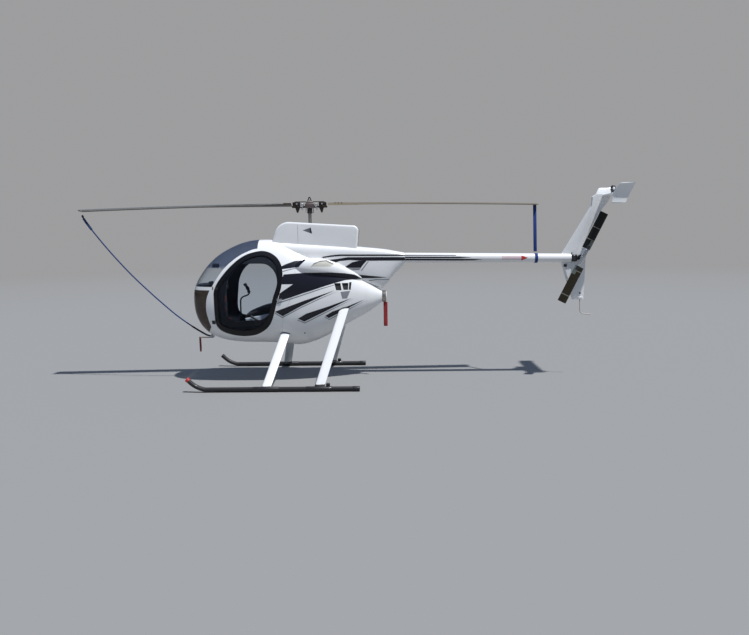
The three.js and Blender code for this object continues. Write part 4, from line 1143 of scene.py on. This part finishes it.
# The rotor head: a cast hub block with a black lifting eye and its pin on top, and a dark grip for each
# blade. The grips step down outwards as the CAD's do. A bright block sits at each grip's root, a dark horn
# hangs under it, and a thin bar runs out from the hub's top.
ROTOR_HEIGHT = 2.250
head_cast = metal("head_cast", (0.20, 0.165, 0.16), 0.5, 0.3, 50)
grip_dark = metal("grip_dark", (0.055, 0.046, 0.04), 0.5, 0.3, 50)
cast_parts = [soft_box((-0.058, -0.040, 2.2065), (0.058, 0.040, 2.268), 0.009, 3),
    soft_box((-0.044, -0.034, 2.262), (0.044, 0.034, 2.292), 0.012, 3)]
eye_path = [Vector((ZERO + x, 0, z)) for x, z in curve_through([(-0.024, 2.288), (-0.018, 2.312),
    (-0.006, 2.342), (0.006, 2.342), (0.018, 2.312), (0.024, 2.288)], 40)]
eye_parts = [loft(tube_rings(eye_path, lambda i: circle(0.0065, 12)))]
bright_parts = [turned((ZERO, 0, 2.286), (0, 0, 1), [(0, 0.006), (0.034, 0.006), (0.037, 0.003)], 12)]
grip_parts = []
for end in (1, -1):
    for start, stop, low, high, reach in ((0.118, 0.215, 2.238, 2.284, 0.036),
            (0.055, 0.225, 2.214, 2.238, 0.036)):
        a, b = sorted((end * start, end * stop))
        grip_parts.append(soft_box((a, -reach, low), (b, reach, high), 0.007, 3))
    a, b = sorted((end * (0.073 + 0.005 * end), end * (0.109 + 0.010 * end)))
    bright_parts.append(soft_box((a, -0.040, 2.226), (b, 0.040, 2.270), 0.006, 3))
    a, b = sorted((end * 0.082, end * 0.104))
    bright_parts.append(soft_box((a, 0.012, 2.182), (b, 0.040, 2.215), 0.004, 2))
    for x in (0.140, 0.185):
        for y in (-0.020, 0.020):
            grip_parts.append(hex_bolt((ZERO + end * x, y, 2.284), (0, 0, 1), 0.013, 0.007))
    for side in (1, -1):
        bright_parts.append(hex_bolt((ZERO + end * 0.160, side * 0.036, 2.262), (0, side, 0), 0.014, 0.007))
    horn = prism([(end * 0.122, 2.216), (end * 0.148, 2.152), (end * 0.162, 2.152), (end * 0.182, 2.216)],
        -0.012, 0.034)
    grip_parts.append(horn)
    foot, top = Vector((ZERO + end * 0.044, 0.020, 2.288)), Vector((ZERO + end * 0.180, 0.020, 2.288))
    grip_parts.append(turned(foot, top - foot, [(0, 0.006), ((top - foot).length, 0.006)], 12))
finish_piece("rotor_hub_block", parked(joined(*cast_parts)), head_cast, "main_rotor",
    ("rotor_head",))
finish_piece("lifting_eye", parked(joined(*eye_parts)), rubber, "main_rotor")
finish_piece("blade_grips", parked(joined(*grip_parts)), grip_dark, "main_rotor")
finish_piece("head_fittings", parked(joined(*bright_parts)), pale_metal, "main_rotor")

# The main blades: long laminated aerofoils that droop at rest, olive-brown and weathered, with a steel nose
# strip; their tops are painted lighter as light and their undersides darker as shade. The front blade's
# leading edge is on the left, so that the rotor turns towards the left.
ROTOR_RADIUS, BLADE_ROOT, BLADE_CHORD, BLADE_THICKNESS, BLADE_DROOP = 2.921, 0.235, 0.175, 0.022, 0.044
BLADE_PITCH, ROOT_PITCH = math.radians(5), math.radians(12)


def blade_paint(name, top, bottom):
    """Weathered blade paint: one colour above as painted light, a darker one below as painted shade, with
    streaks that run along the span.
    """
    material, nodes, links, shader = new_material(name, top, 0.45, coat=0.05, specular=0.3)
    streaks = texture(nodes, links, "ShaderNodeTexNoise", scale=9.0, stretch=(0.35, 9, 9), Detail=8.0,
        Roughness=0.6)
    facing = nodes.new("ShaderNodeNewGeometry")
    split = nodes.new("ShaderNodeSeparateXYZ")
    links.new(facing.outputs["Normal"], split.inputs["Vector"])
    sunlit_share = nodes.new("ShaderNodeMapRange")
    sunlit_share.inputs["From Min"].default_value = -0.15
    sunlit_share.inputs["From Max"].default_value = 0.15
    links.new(split.outputs["Z"], sunlit_share.inputs["Value"])
    faces = nodes.new("ShaderNodeMix")
    faces.data_type = "RGBA"
    faces.inputs["A"].default_value = (*bottom, 1)
    faces.inputs["B"].default_value = (*top, 1)
    links.new(sunlit_share.outputs["Result"], faces.inputs["Factor"])
    worn = ramp(nodes, links, streaks.outputs["Fac"], [(0.35, (1, 1, 1)), (0.62, (0.72, 0.70, 0.66)),
        (0.75, (0.5, 0.48, 0.44))])
    mixed = nodes.new("ShaderNodeMix")
    mixed.data_type = "RGBA"
    mixed.blend_type = "MULTIPLY"
    mixed.inputs["Factor"].default_value = 1
    links.new(faces.outputs["Result"], mixed.inputs["A"])
    links.new(worn.outputs["Color"], mixed.inputs["B"])
    links.new(mixed.outputs["Result"], shader.inputs["Base Color"])
    roughness_from(nodes, links, streaks.outputs["Fac"], shader, 0.3, 0.6)
    bump(nodes, links, streaks.outputs["Fac"], shader, 0.12, 0.0006)
    return material


# Faces that look up take the lighter colour as painted light; faces that look down take the darker one as
# painted shade.
main_blade_paint_and_shade = blade_paint("main_blade_paint_and_shade", (0.20, 0.165, 0.105), (0.05, 0.033, 0.024))
nose_strip = metal("nose_strip", (0.5, 0.49, 0.46), 0.35, 0.3, 30)
for end, name in ((1, "front"), (-1, "rear")):
    def section(radius, chord_share=1.0, thick=1.0, points=40):
        pitch = BLADE_PITCH + (ROOT_PITCH - BLADE_PITCH) * max(0, 1 - (radius - BLADE_ROOT) / 1.2)
        chord = Vector((0, -end * BLADE_CHORD * math.cos(pitch), -BLADE_CHORD * math.sin(pitch)))
        drooped = ROTOR_HEIGHT + 0.012 - BLADE_DROOP * (radius / ROTOR_RADIUS) ** 2
        nose = Vector((ZERO + end * radius, 0, drooped)) - chord * (0.3 * chord_share)
        return foil_ring(nose, chord * chord_share, (0, 0, BLADE_THICKNESS * thick), points)

    reaches = [BLADE_ROOT + (ROTOR_RADIUS - 0.012 - BLADE_ROOT) * i / 40 for i in range(41)]
    rings = [section(radius) for radius in reaches]
    rings += [section(ROTOR_RADIUS - 0.004, 0.985, 0.9), section(ROTOR_RADIUS, 0.95, 0.6)]
    finish_piece(f"blade_{name}_skin", parked(loft(rings)), main_blade_paint_and_shade, "main_rotor",
        (f"main_blade_{name}",), sharp=50)
    strips = []
    for start, stop in ((0.33, 1.15), (1.153, 2.0), (2.003, ROTOR_RADIUS - 0.02)):
        rings = []
        for i in range(9):
            ring = section(start + (stop - start) * i / 8, 1.0, 1.08, 48)
            lip = ring[:7] + ring[-6:]
            rings.append([point + Vector((0, end * 0.0006, 0)) for point in lip])
        strips.append(loft(rings))
    finish_piece(f"blade_{name}_nose_strip", parked(joined(*strips)), nose_strip, "main_rotor")
    plates = []
    for reach, thick in ((0.62, 1.10), (0.48, 1.18)):
        ends = [section(radius, 1.0, thick) for radius in (0.303, reach)]
        plates.append(loft([ring[3:15] + ring[-14:-2] for ring in ends]))
    for x in (0.33, 0.37, 0.41):
        for share in (0.0, 0.045):
            top = Vector((ZERO + end * x, -end * share, ROTOR_HEIGHT + 0.0225))
            plates.append(hex_bolt(top, (0, 0, 1), 0.011, 0.005))
    finish_piece(f"blade_{name}_doubler", parked(joined(*plates)), main_blade_paint_and_shade, "main_rotor")

# The aft tie-down strap: flat navy webbing from the rear blade down to the boom's band, doubled where it is
# tied. Its ends are the CAD's, in the frame that the rotor is drawn in.
STRAP_TOP, STRAP_FOOT = Vector((ZERO - 2.880, 0.060, 2.184)), Vector((ZERO - 2.871, 0.150, 1.614))
STRAP_WIDTH, STRAP_THICKNESS = 0.043, 0.003


def strap_length(start, end, thickness):
    """A stretch of the strap between two shares of its fall."""
    bm = soft_box((-STRAP_WIDTH / 2 - ZERO, -thickness / 2, start),
        (STRAP_WIDTH / 2 - ZERO, thickness / 2, end), thickness * 0.3, 2)
    fall = STRAP_FOOT - STRAP_TOP
    for vert in bm.verts:
        vert.co = STRAP_TOP + fall * vert.co.z + Vector((vert.co.x, vert.co.y, 0))
    bmesh.ops.recalc_face_normals(bm, faces=bm.faces)
    return parked(bm)


finish_piece("strap_webbing", strap_length(0, 1, STRAP_THICKNESS), webbing, "main_rotor",
    ("tie_down_strap",))
finish_piece("strap_loop", strap_length(-0.036, 0.11, 0.010), webbing, "main_rotor")

# The tail rotor: a splined shaft from the gearbox, a steel hub bar with a dark cuff at each end, and two
# leaning blades. The upper blade is nearly black and the lower one olive; both carry pale bands and a grey
# plate at the root.
LEAN = math.radians(26)
spin_up = Vector((-math.sin(LEAN), 0, math.cos(LEAN)))
spin_across = Vector((math.cos(LEAN), 0, math.sin(LEAN)))
shaft_foot = Vector((TAIL_HUB.x, 0.081, TAIL_HUB.z))
shaft = turned(shaft_foot, (0, 1, 0), [(0, 0.013), (0.040, 0.013), (0.040, 0.019), (0.052, 0.019),
    (0.052, 0.013), (0.110, 0.013), (0.112, 0.017), (0.120, 0.017), (0.122, 0.008)], 32)
turn_hub = Matrix((spin_across, Vector((0, 1, 0)), spin_up)).transposed()


def leaned(bm):
    """Turns a bmesh that was drawn upright round the origin to the tail rotor's resting angle, at its hub."""
    for vert in bm.verts:
        vert.co = TAIL_HUB + turn_hub @ vert.co
    return bm


hub_bar = soft_box((-0.025 - ZERO, -0.015, -0.117), (0.025 - ZERO, 0.015, 0.117), 0.008, 3)
hub_parts = [shaft, leaned(hub_bar)]
for end in (1, -1):
    for reach in (0.050, 0.078):
        hub_parts.append(leaned(hex_bolt((0, 0.015, end * reach), (0, 1, 0), 0.013, 0.006)))
finish_piece("tail_hub_steel", joined(*hub_parts), bright_steel, "tail_rotor", ("tail_rotor_hub",))
TAIL_ROOT, TAIL_RADIUS = 0.118, 0.605
root_grey = speckled("root_grey", (0.13, 0.15, 0.13), 0.45, 0.1, 0.3)
band_pale = speckled("band_pale", (0.24, 0.23, 0.19), 0.5, 0.0, 0.4)
for end, name, color, bands in ((1, "a", (0.006, 0.008, 0.008), (0.235, 0.395)),
        (-1, "b", (0.030, 0.023, 0.011), (0.175, 0.500))):
    paint = blade_paint(f"tail_blade_paint_{name}", color, color)
    chord = spin_across * (0.108 * end) + Vector((0, 0.010, 0))

    def tail_ring(radius, thick=1.0, last=32):
        """The blade's section at a radius, or the part of it that runs from its nose to a last point."""
        nose = TAIL_HUB + spin_up * (end * radius) - chord * 0.35
        ring = foil_ring(nose, chord, (0, 0.014 * thick, 0), 32)
        return ring if last == 32 else ring[:last] + ring[-last + 1:]

    rings = [tail_ring(TAIL_ROOT + (TAIL_RADIUS - TAIL_ROOT) * i / 20, 1.0 if i < 20 else 0.6)
        for i in range(21)]
    finish_piece(f"tail_blade_{name}_skin", loft(rings), paint, "tail_rotor",
        (f"tail_blade_{name}",), sharp=50)
    root_plate = loft([tail_ring(radius, 1.16, 8) for radius in (0.124, 0.230)])
    finish_piece(f"tail_root_{name}", root_plate, root_grey, "tail_rotor")
    across_bands = [loft([tail_ring(radius + step, 1.12) for step in (0.0, 0.009)]) for radius in bands]
    finish_piece(f"tail_bands_{name}", joined(*across_bands), band_pale, "tail_rotor")
    cuff = soft_box((-0.021 - ZERO, -0.011, 0.100), (0.021 - ZERO, 0.011, 0.165), 0.006, 3)
    for vert in cuff.verts:
        vert.co.z *= end
    if end < 0:
        bmesh.ops.reverse_faces(cuff, faces=cuff.faces)
    finish_piece(f"tail_cuff_{name}", leaned(cuff), dark_casting, "tail_rotor")

# The exhaust: a short metal outlet at the cowl's tail, closed by a white parking plug with a red ribbon.
OUTLET_Z = 1.067
scorched = metal("scorched", (0.40, 0.37, 0.33), 0.36, 0.5, 26)
outlet = turned((ZERO - 0.951, 0, OUTLET_Z), (-1, 0, 0), [(0, 0.072), (0.005, 0.074), (0.041, 0.074),
    (0.0455, 0.0748), (0.049, 0.072), (0.049, 0.0665), (0.009, 0.0660), (0.009, 0.0005)], 56)
finish_piece("exhaust_pipe", outlet, scorched, replaces=("exhaust_outlet",))
plug = turned((ZERO - 0.961, 0, OUTLET_Z), (-1, 0, 0), [(0, 0.064), (0.040, 0.064), (0.0405, 0.0645),
    (0.044, 0.0640), (0.046, 0.060), (0.047, 0.030), (0.047, 0.0005)], 56)
plug_white = speckled("plug_white", (0.82, 0.82, 0.8), 0.5, 0.1, 0.15)
finish_piece("exhaust_plug", plug, plug_white, replaces=("exhaust_cover",))

# The parking ribbons: red cloth strips hung from the exhaust plug and from the pitot sleeve, stirred by the
# air. Each is a thin flat cloth, laid out as its route's width and length, with a few slow waves down its
# fall.
ribbon_red = braided("ribbon_red", (0.16, 0.012, 0.014), (0.42, 0.03, 0.03), 300)
ribbon_brown = braided("ribbon_brown", (0.10, 0.02, 0.018), (0.26, 0.045, 0.035), 300)


def hung_ribbon(name, top, width, length, wave, cloth, node):
    """A strip that hangs from its top edge with its flat side turned outwards."""
    bm = bmesh.new()
    uv = bm.loops.layers.uv.new("UVMap")
    bmesh.ops.create_grid(bm, x_segments=6, y_segments=60, size=0.5)
    for face in bm.faces:
        for loop in face.loops:
            loop[uv].uv = ((loop.vert.co.x + 0.5) * width, (0.5 - loop.vert.co.y) * length)
    for vert in bm.verts:
        across, fall = vert.co.x * width, 0.5 - vert.co.y
        twist = 0.45 * fall * math.sin(4.1 * fall)
        sway = wave * fall * math.sin(7.5 * fall + 0.4)
        vert.co = Vector(top) + Vector((across * math.cos(twist), sway + across * math.sin(twist),
            -length * fall))
    strip = finish_piece(name, bm, cloth, replaces=(node,), sharp=80)
    thick = strip.modifiers.new("thickness", "SOLIDIFY")
    thick.thickness = 0.0012
    thick.offset = 0


hung_ribbon("exhaust_ribbon_cloth", (ZERO - 0.992, 0, 0.992), 0.052, 0.316, 0.004, ribbon_red,
    "exhaust_ribbon")
hung_ribbon("pitot_ribbon_cloth", (ZERO + 1.449, 0.040, 0.550), 0.026, 0.182, 0.002, ribbon_brown,
    "pitot_ribbon")

# Nose fittings: a thin tan pitot tube on its foot, with a sleeve over its mouth, and a steel ring for the
# rope.
tan_sleeve = speckled("tan_sleeve", (0.46, 0.36, 0.24), 0.6, 0.0, 0.3)
pitot_from, pitot_to = Vector((ZERO + 1.270, 0.040, 0.556)), Vector((ZERO + 1.462, 0.040, 0.557))
pitot_axis = pitot_to - pitot_from
tube = turned(pitot_from, pitot_axis, [(0, 0.003), (0.002, 0.006), (0.120, 0.006), (0.192, 0.0052)], 20)
foot = carved(working(soft_box((1.273, 0.0365, 0.555), (1.299, 0.0435, 0.700), 0.002)), around)
finish_piece("pitot_pipe", joined(tube, foot), grey_steel, replaces=("pitot_tube",))
sleeve_bore = turned(pitot_from, pitot_axis, [(0.075, 0.0064), (0.077, 0.0078), (0.190, 0.0074),
    (0.1935, 0.0060), (0.1935, 0.0005)], 20)
finish_piece("pitot_sleeve", sleeve_bore, tan_sleeve)
tie_path = [Vector((ZERO + 1.290 + 0.018 * math.cos(a), 0, 0.570 + 0.018 * math.sin(a)))
            for a in [2 * math.pi * i / 36 for i in range(37)]]
ring = loft(tube_rings(tie_path, lambda i: circle(0.005, 12)))
stem = carved(working(turned((ZERO + 1.290, 0, 0.586), (0, 0, 1),
    [(0, 0.005), (0.004, 0.006), (0.110, 0.006)], 16)), around)
finish_piece("tie_ring_steel", joined(ring, stem), grey_steel, replaces=("nose_tie_ring",))

# Door fittings: a polished outside handle, and black hinge straps at the door's front edge with their pins.
# Each strap is a patch of the skin's own shape; the lower one is in two halves that meet at the hinge line.
polished = metal("polished", (0.72, 0.72, 0.73), 0.16, 0.2, 40)
strap_wall = working(carved(working(body_skin(0.005)), working(body_skin(0.0006))))
DOOR_STRAPS = [[(1.103, 1.203), (1.136, 1.203), (1.136, 1.237), (1.103, 1.237)],
    [(1.111, 0.766), (1.156, 0.762), (1.156, 0.806), (1.111, 0.808)]]
BODY_STRAP = [(1.167, 0.762), (1.211, 0.762), (1.211, 0.806), (1.167, 0.806)]
for side, name in SIDES:
    low, high = sorted((side * 0.318, side * 0.388))
    bar = working(soft_box((0.286, low, 1.058), (0.358, high, 1.084), 0.009, 4))
    plain = carved(bar, working(body_skin(0.0004)))
    finish_piece(f"handle_{name}", plain, polished, f"door_{name}", (f"door_handle_{name}",))
    straps = [carved(strap_wall, within(side_cut(outline, side))) for outline in DOOR_STRAPS]
    finish_piece(f"hinge_straps_{name}", joined(*straps), rubber, f"door_{name}")
    fixed = [carved(strap_wall, within(side_cut(BODY_STRAP, side)))]
    for z in (1.200, 0.765):
        fixed.append(turned((ZERO + 1.170, side * 0.316, z), (0, 0, 1),
            [(0, 0.004), (0.001, 0.0055), (0.039, 0.0055), (0.040, 0.004)], 16))
    finish_piece(f"hinge_body_{name}", joined(*fixed), rubber)

# The engine: one plain grey block behind the bulkhead, seen only through the air outlets.
engine = soft_box((-0.420, -0.170, 0.790), (-0.020, 0.170, 1.230), 0.020, 3)
finish_piece("engine_block", engine, dark_casting, replaces=("engine",))
grille_black = speckled("grille_black", (0.02, 0.02, 0.022), 0.6, 0.0, 0.3)
DRAIN = 0.034, 0.631
VENT_MESH = [(-0.345, 1.275), (-0.575, 1.275), (-0.575, 1.135), (-0.345, 1.150)]
for side, name in SIDES:
    drain = [(DRAIN[0] + x, DRAIN[1] + z) for x, z in circle(0.009, 16)]
    finish_piece(f"drain_{name}", stuck_on(film_wall, [drain], side), grille_black)
    behind_vents = carved(working(body_skin(-0.020)), working(body_skin(-0.023)),
        within(side_cut(VENT_MESH, side, 0.05)))
    finish_piece(f"vent_mesh_{name}", behind_vents, grille_black)
    # The grey patch under the outlets is painted shade.
    finish_piece(f"gusset_{name}", stuck_on(film_wall, [OUTLET_SHADE_PATCH], side), grey_vinyl_and_shade)

# The cabin floor and the bulkhead: black honeycomb board, and a pale sprayed wall behind the seat.
body_room = working(body_skin(-WALL - 0.001))
floor_board = carved(working(soft_box((0.285, -0.400, 0.596), (1.330, 0.400, 0.612), 0)), within(body_room))
black_board = speckled("black_board", (0.03, 0.03, 0.032), 0.7, 0.0, 0.4)
finish_piece("floor_board", floor_board, black_board, replaces=("cabin_floor",))
bulkhead_pale = speckled("bulkhead_pale", (0.62, 0.63, 0.66), 0.5, 0.0, 0.2)
wall_board = carved(working(soft_box((0.257, -0.400, 0.400), (0.275, 0.400, 1.900), 0)), within(body_room))
finish_piece("bulkhead_board", wall_board, bulkhead_pale, replaces=("rear_bulkhead",))

# The seat: a pale moulded box with rounded edges, a black cushion on it and a black back cushion leaning
# behind.
seat_pale = speckled("seat_pale", (0.66, 0.67, 0.70), 0.4, 0.1, 0.15)
SEAT_BASE = [(0.330, 0.613), (0.790, 0.613), (0.812, 0.818), (0.330, 0.905)]
SEAT_CUSHION = [(0.436, 0.894), (0.805, 0.827), (0.805, 0.858), (0.766, 0.882), (0.688, 0.922),
    (0.600, 0.949), (0.436, 0.986)]
finish_piece("seat_box", block(SEAT_BASE, 0.178, 0.020, 4), seat_pale,
    replaces=("seat_base",))
seat_cloth = braided("seat_cloth", (0.006, 0.006, 0.008), (0.028, 0.029, 0.034), 340)


def stuffed(name, outline, half, node):
    """A cushion: a closed cover blown up a little, so that it swells between its corners."""
    cover = finish_piece(name, block(outline, half, 0.016, 4), seat_cloth, replaces=(node,),
        sharp=80)
    remesh = cover.modifiers.new("even mesh", "REMESH")
    remesh.mode = "VOXEL"
    remesh.voxel_size = 0.006
    remesh.use_smooth_shade = True
    cloth = cover.modifiers.new("swelling", "CLOTH")
    cloth.settings.use_pressure = True
    cloth.settings.uniform_pressure_force = 4
    cloth.settings.effector_weights.gravity = 0
    cloth.settings.quality = 6
    cloth.point_cache.frame_start = 1
    cloth.point_cache.frame_end = 20
    for step in range(1, 13):
        bpy.context.scene.frame_set(step)
    settled = bpy.data.meshes.new_from_object(cover.evaluated_get(bpy.context.evaluated_depsgraph_get()))
    cover.modifiers.clear()
    cover.data = settled
    bpy.context.scene.frame_set(1)


BACK_FOOT, BACK_HALF, BACK_LEAN = (0.382, 0.912), 0.028, math.radians(6)
leaning = [(BACK_FOOT[0] + x * math.cos(BACK_LEAN) - z * math.sin(BACK_LEAN),
            BACK_FOOT[1] + x * math.sin(BACK_LEAN) + z * math.cos(BACK_LEAN))
           for x, z in ((-BACK_HALF, 0.008), (BACK_HALF, 0.008), (BACK_HALF, 0.462), (-BACK_HALF, 0.462))]
stuffed("seat_cushion_cover", SEAT_CUSHION, 0.168, "seat_cushion")
stuffed("back_cushion_cover", leaning, 0.166, "seat_back_cushion")

# The instruments: a slim pedestal on the floor that carries a rounded pod of plain round dials and a wire
# bundle.
pod = [soft_box((1.091, -0.044, 0.613), (1.149, 0.044, 1.188), 0.010, 3),
       soft_box((1.082, -0.093, 1.181), (1.163, 0.093, 1.343), 0.018, 4)]
pod.append(soft_box((1.070, -0.097, 1.332), (1.168, 0.097, 1.348), 0.007, 3))
finish_piece("instrument_pod", joined(*pod), dark_interior,
    replaces=("instrument_pedestal",))
dial_face = speckled("dial_face", (0.012, 0.012, 0.013), 0.3, 0.6, 0.1)
bezels, faces, marks = [], [], []
for y, z, radius in ((-0.044, 1.288, 0.036), (0.044, 1.288, 0.036), (-0.058, 1.220, 0.025),
        (0.0, 1.220, 0.025), (0.058, 1.220, 0.025)):
    place = (ZERO + 1.082, y, z)
    bezels.append(turned(place, (-1, 0, 0), [(-0.002, radius), (0.005, radius), (0.006, radius * 0.93),
        (0.004, radius * 0.86), (0.0015, radius * 0.85), (-0.002, radius * 0.84)], 36))
    faces.append(turned(place, (-1, 0, 0), [(-0.001, radius * 0.84), (0.001, radius * 0.84)], 36))
    for k in range(9):
        angle = math.radians(-210 + 30 * k)
        spot = Vector((0, math.cos(angle), math.sin(angle))) * radius * 0.68
        marks.append(turned(Vector(place) + Vector((-0.0012, 0, 0)) + spot, (-1, 0, 0),
            [(0, radius * 0.045), (0.0006, radius * 0.045)], 6))
    tip = Vector(place) + Vector((-0.0022, radius * 0.45, radius * 0.42))
    marks.append(turned(Vector(place) + Vector((-0.0022, 0, 0)), tip - Vector(place),
        [(0, radius * 0.06), (radius * 0.6, radius * 0.02)], 6))
finish_piece("dial_bezels", joined(*bezels), grille_black)
finish_piece("dial_faces", joined(*faces), dial_face)
mark_pale = speckled("mark_pale", (0.75, 0.75, 0.7), 0.5, 0.0, 0.1)
finish_piece("dial_marks", joined(*marks), mark_pale)

# A small compass box under the windshield's bow, and a thin glareshield with a box on it, cut to the body's
# inside.
compass = soft_box((1.168, -0.028, 1.466), (1.250, 0.028, 1.520), 0.010, 3)
finish_piece("compass_box", compass, dark_interior)
shield = working(joined(soft_box((1.262, -0.190, 1.241), (1.440, 0.190, 1.262), 0.002),
    soft_box((1.264, -0.060, 1.265), (1.298, 0.060, 1.290), 0.006, 3)))
finish_piece("glareshield", carved(shield, within(working(body_skin(-0.012)))), dark_interior)

# The controls: the bent cyclic stick with its grip, the collective lever with its twist grip, and the two
# pedals. None of them moves: the record has no joint for them.
STICK = [(0.905, 0, 0.814), (0.905, 0, 0.950), (0.900, 0, 1.045), (0.868, 0, 1.082), (0.806, 0, 1.106),
         (0.784, 0, 1.142), (0.804, 0, 1.192), (0.842, 0, 1.252)]
LEVER = [(0.420, 0.200, 0.640), (0.520, 0.200, 0.700), (0.640, 0.200, 0.790), (0.735, 0.200, 0.850)]
black_tube = speckled("black_tube", (0.02, 0.02, 0.022), 0.35, 0.3, 0.3)
grip_rubber = speckled("grip_rubber", (0.03, 0.03, 0.032), 0.7, 0.0, 0.3)


def bent(points, radii, steps=60, sides=20):
    path = [Vector((ZERO + p[0], p[1], p[2])) for p in curve_through(points, steps)]
    return loft(tube_rings(path, lambda i: circle(radii(i / steps), sides)))


RED_WIRE = [(1.110, 0.050, 1.190), (1.101, 0.085, 1.101), (1.066, 0.100, 1.090), (1.098, 0.110, 0.982),
            (1.067, 0.115, 0.945), (1.085, 0.120, 0.863), (1.059, 0.120, 0.826), (1.005, 0.110, 0.798),
            (0.985, 0.090, 0.640)]
finish_piece("red_wire", bent(RED_WIRE, lambda share: 0.0035, 90, 10), red_film)
stick = [bent(STICK, lambda share: 0.010), turned((ZERO + 0.905, 0, 0.613), (0, 0, 1),
    [(0, 0.030), (0.004, 0.030), (0.008, 0.014), (0.205, 0.0135)], 24)]
finish_piece("cyclic_tube", joined(*stick), black_tube, replaces=("cyclic_stick",))
grip = bent([(0.787, 0, 1.135), (0.804, 0, 1.192), (0.843, 0, 1.256)],
    lambda share: 0.020 + 0.003 * math.sin(share * 15.7) * (0.1 < share < 0.9) - 0.010 * (share > 0.98), 40)
finish_piece("cyclic_grip", grip, grip_rubber)
lever_foot = soft_box((0.380, 0.183, 0.613), (0.450, 0.217, 0.680), 0.006, 3)
lever = bent(LEVER, lambda share: 0.011 + 0.0035 * (share > 0.62) - 0.003 * (share > 0.985))
finish_piece("collective_tube", joined(lever_foot, lever), black_tube,
    replaces=("collective_lever",))
pedal_parts = [turned((ZERO + 1.205, -0.130, 0.640), (0, 1, 0),
    [(0, 0.008), (0.002, 0.010), (0.258, 0.010), (0.260, 0.008)], 24),
    soft_box((1.195, -0.020, 0.613), (1.215, 0.020, 0.640), 0.003)]
for side in (1, -1):
    pedal_parts.append(soft_box((1.199, side * 0.095 - 0.035, 0.645), (1.211, side * 0.095 + 0.035, 0.765),
        0.004, 3))
    for k in range(5):
        z = 0.668 + 0.018 * k
        pedal_parts.append(soft_box((1.197, side * 0.095 - 0.030, z),
            (1.200, side * 0.095 + 0.030, z + 0.006), 0.001))
finish_piece("pedal_plates", joined(*pedal_parts), black_tube, replaces=("pedals",))

# The floor is plain and fades into the same soft grey all round, which only the camera sees. The light is a
# sun that stands high, towards the tail and the camera, under a soft sky that darkens to its edge.
floor_mesh = bmesh.new()
bmesh.ops.create_circle(floor_mesh, cap_ends=True, segments=64, radius=70)
floor_grey, nodes, links, shader = new_material("floor_grey", (0.27, 0.27, 0.265), 0.9, specular=0.05)
BACKDROP = 0.34
SUN_STRENGTH, SUN_WIDTH = 4.0, math.radians(1.5)
SUN_TURNS = math.radians(-13), math.radians(-20), 0
spot = texture(nodes, links, "ShaderNodeTexGradient", gradient_type="SPHERICAL", stretch=(1 / 34, 1 / 34, 0))
fade = ramp(nodes, links, spot.outputs["Fac"], [(0.0, (0, 0, 0)), (0.72, (1, 1, 1))])
glow = nodes.new("ShaderNodeEmission")
glow.inputs["Color"].default_value = (BACKDROP, BACKDROP, BACKDROP * 1.02, 1)
mix = nodes.new("ShaderNodeMixShader")
links.new(fade.outputs["Color"], mix.inputs["Fac"])
links.new(glow.outputs["Emission"], mix.inputs[1])
links.new(shader.outputs["BSDF"], mix.inputs[2])
links.new(mix.outputs["Shader"], nodes["Material Output"].inputs["Surface"])
floor = finish_piece("floor", floor_mesh, floor_grey, body=None, smooth=False)
world = bpy.data.worlds.new("studio")
bpy.context.scene.world = world
world.use_nodes = True
nodes, links = world.node_tree.nodes, world.node_tree.links
backdrop = nodes["Background"]
backdrop.inputs["Color"].default_value = (BACKDROP, BACKDROP, BACKDROP * 1.02, 1)
sky = nodes.new("ShaderNodeBackground")
way = nodes.new("ShaderNodeTexCoord")
height = nodes.new("ShaderNodeSeparateXYZ")
links.new(way.outputs["Generated"], height.inputs["Vector"])
rise = ramp(nodes, links, height.outputs["Z"], [(0.0, (0.06, 0.07, 0.05)), (0.12, (0.10, 0.13, 0.14)),
    (0.35, (0.20, 0.26, 0.38)), (0.9, (0.22, 0.28, 0.42))])
links.new(rise.outputs["Color"], sky.inputs["Color"])
seen = nodes.new("ShaderNodeLightPath")
either = nodes.new("ShaderNodeMixShader")
links.new(seen.outputs["Is Camera Ray"], either.inputs["Fac"])
links.new(sky.outputs["Background"], either.inputs[1])
links.new(backdrop.outputs["Background"], either.inputs[2])
links.new(either.outputs["Shader"], nodes["World Output"].inputs["Surface"])
sun = bpy.data.lights.new("sun", "SUN")
sun.energy = SUN_STRENGTH
sun.angle = SUN_WIDTH
lamp = bpy.data.objects.new("sun", sun)
bpy.context.scene.collection.objects.link(lamp)
lamp.rotation_euler = SUN_TURNS
bpy.context.scene.view_settings.view_transform = "Standard"

for left_over in [thing for thing in bpy.data.objects if thing.name.startswith("working")]:
    bpy.data.objects.remove(left_over)
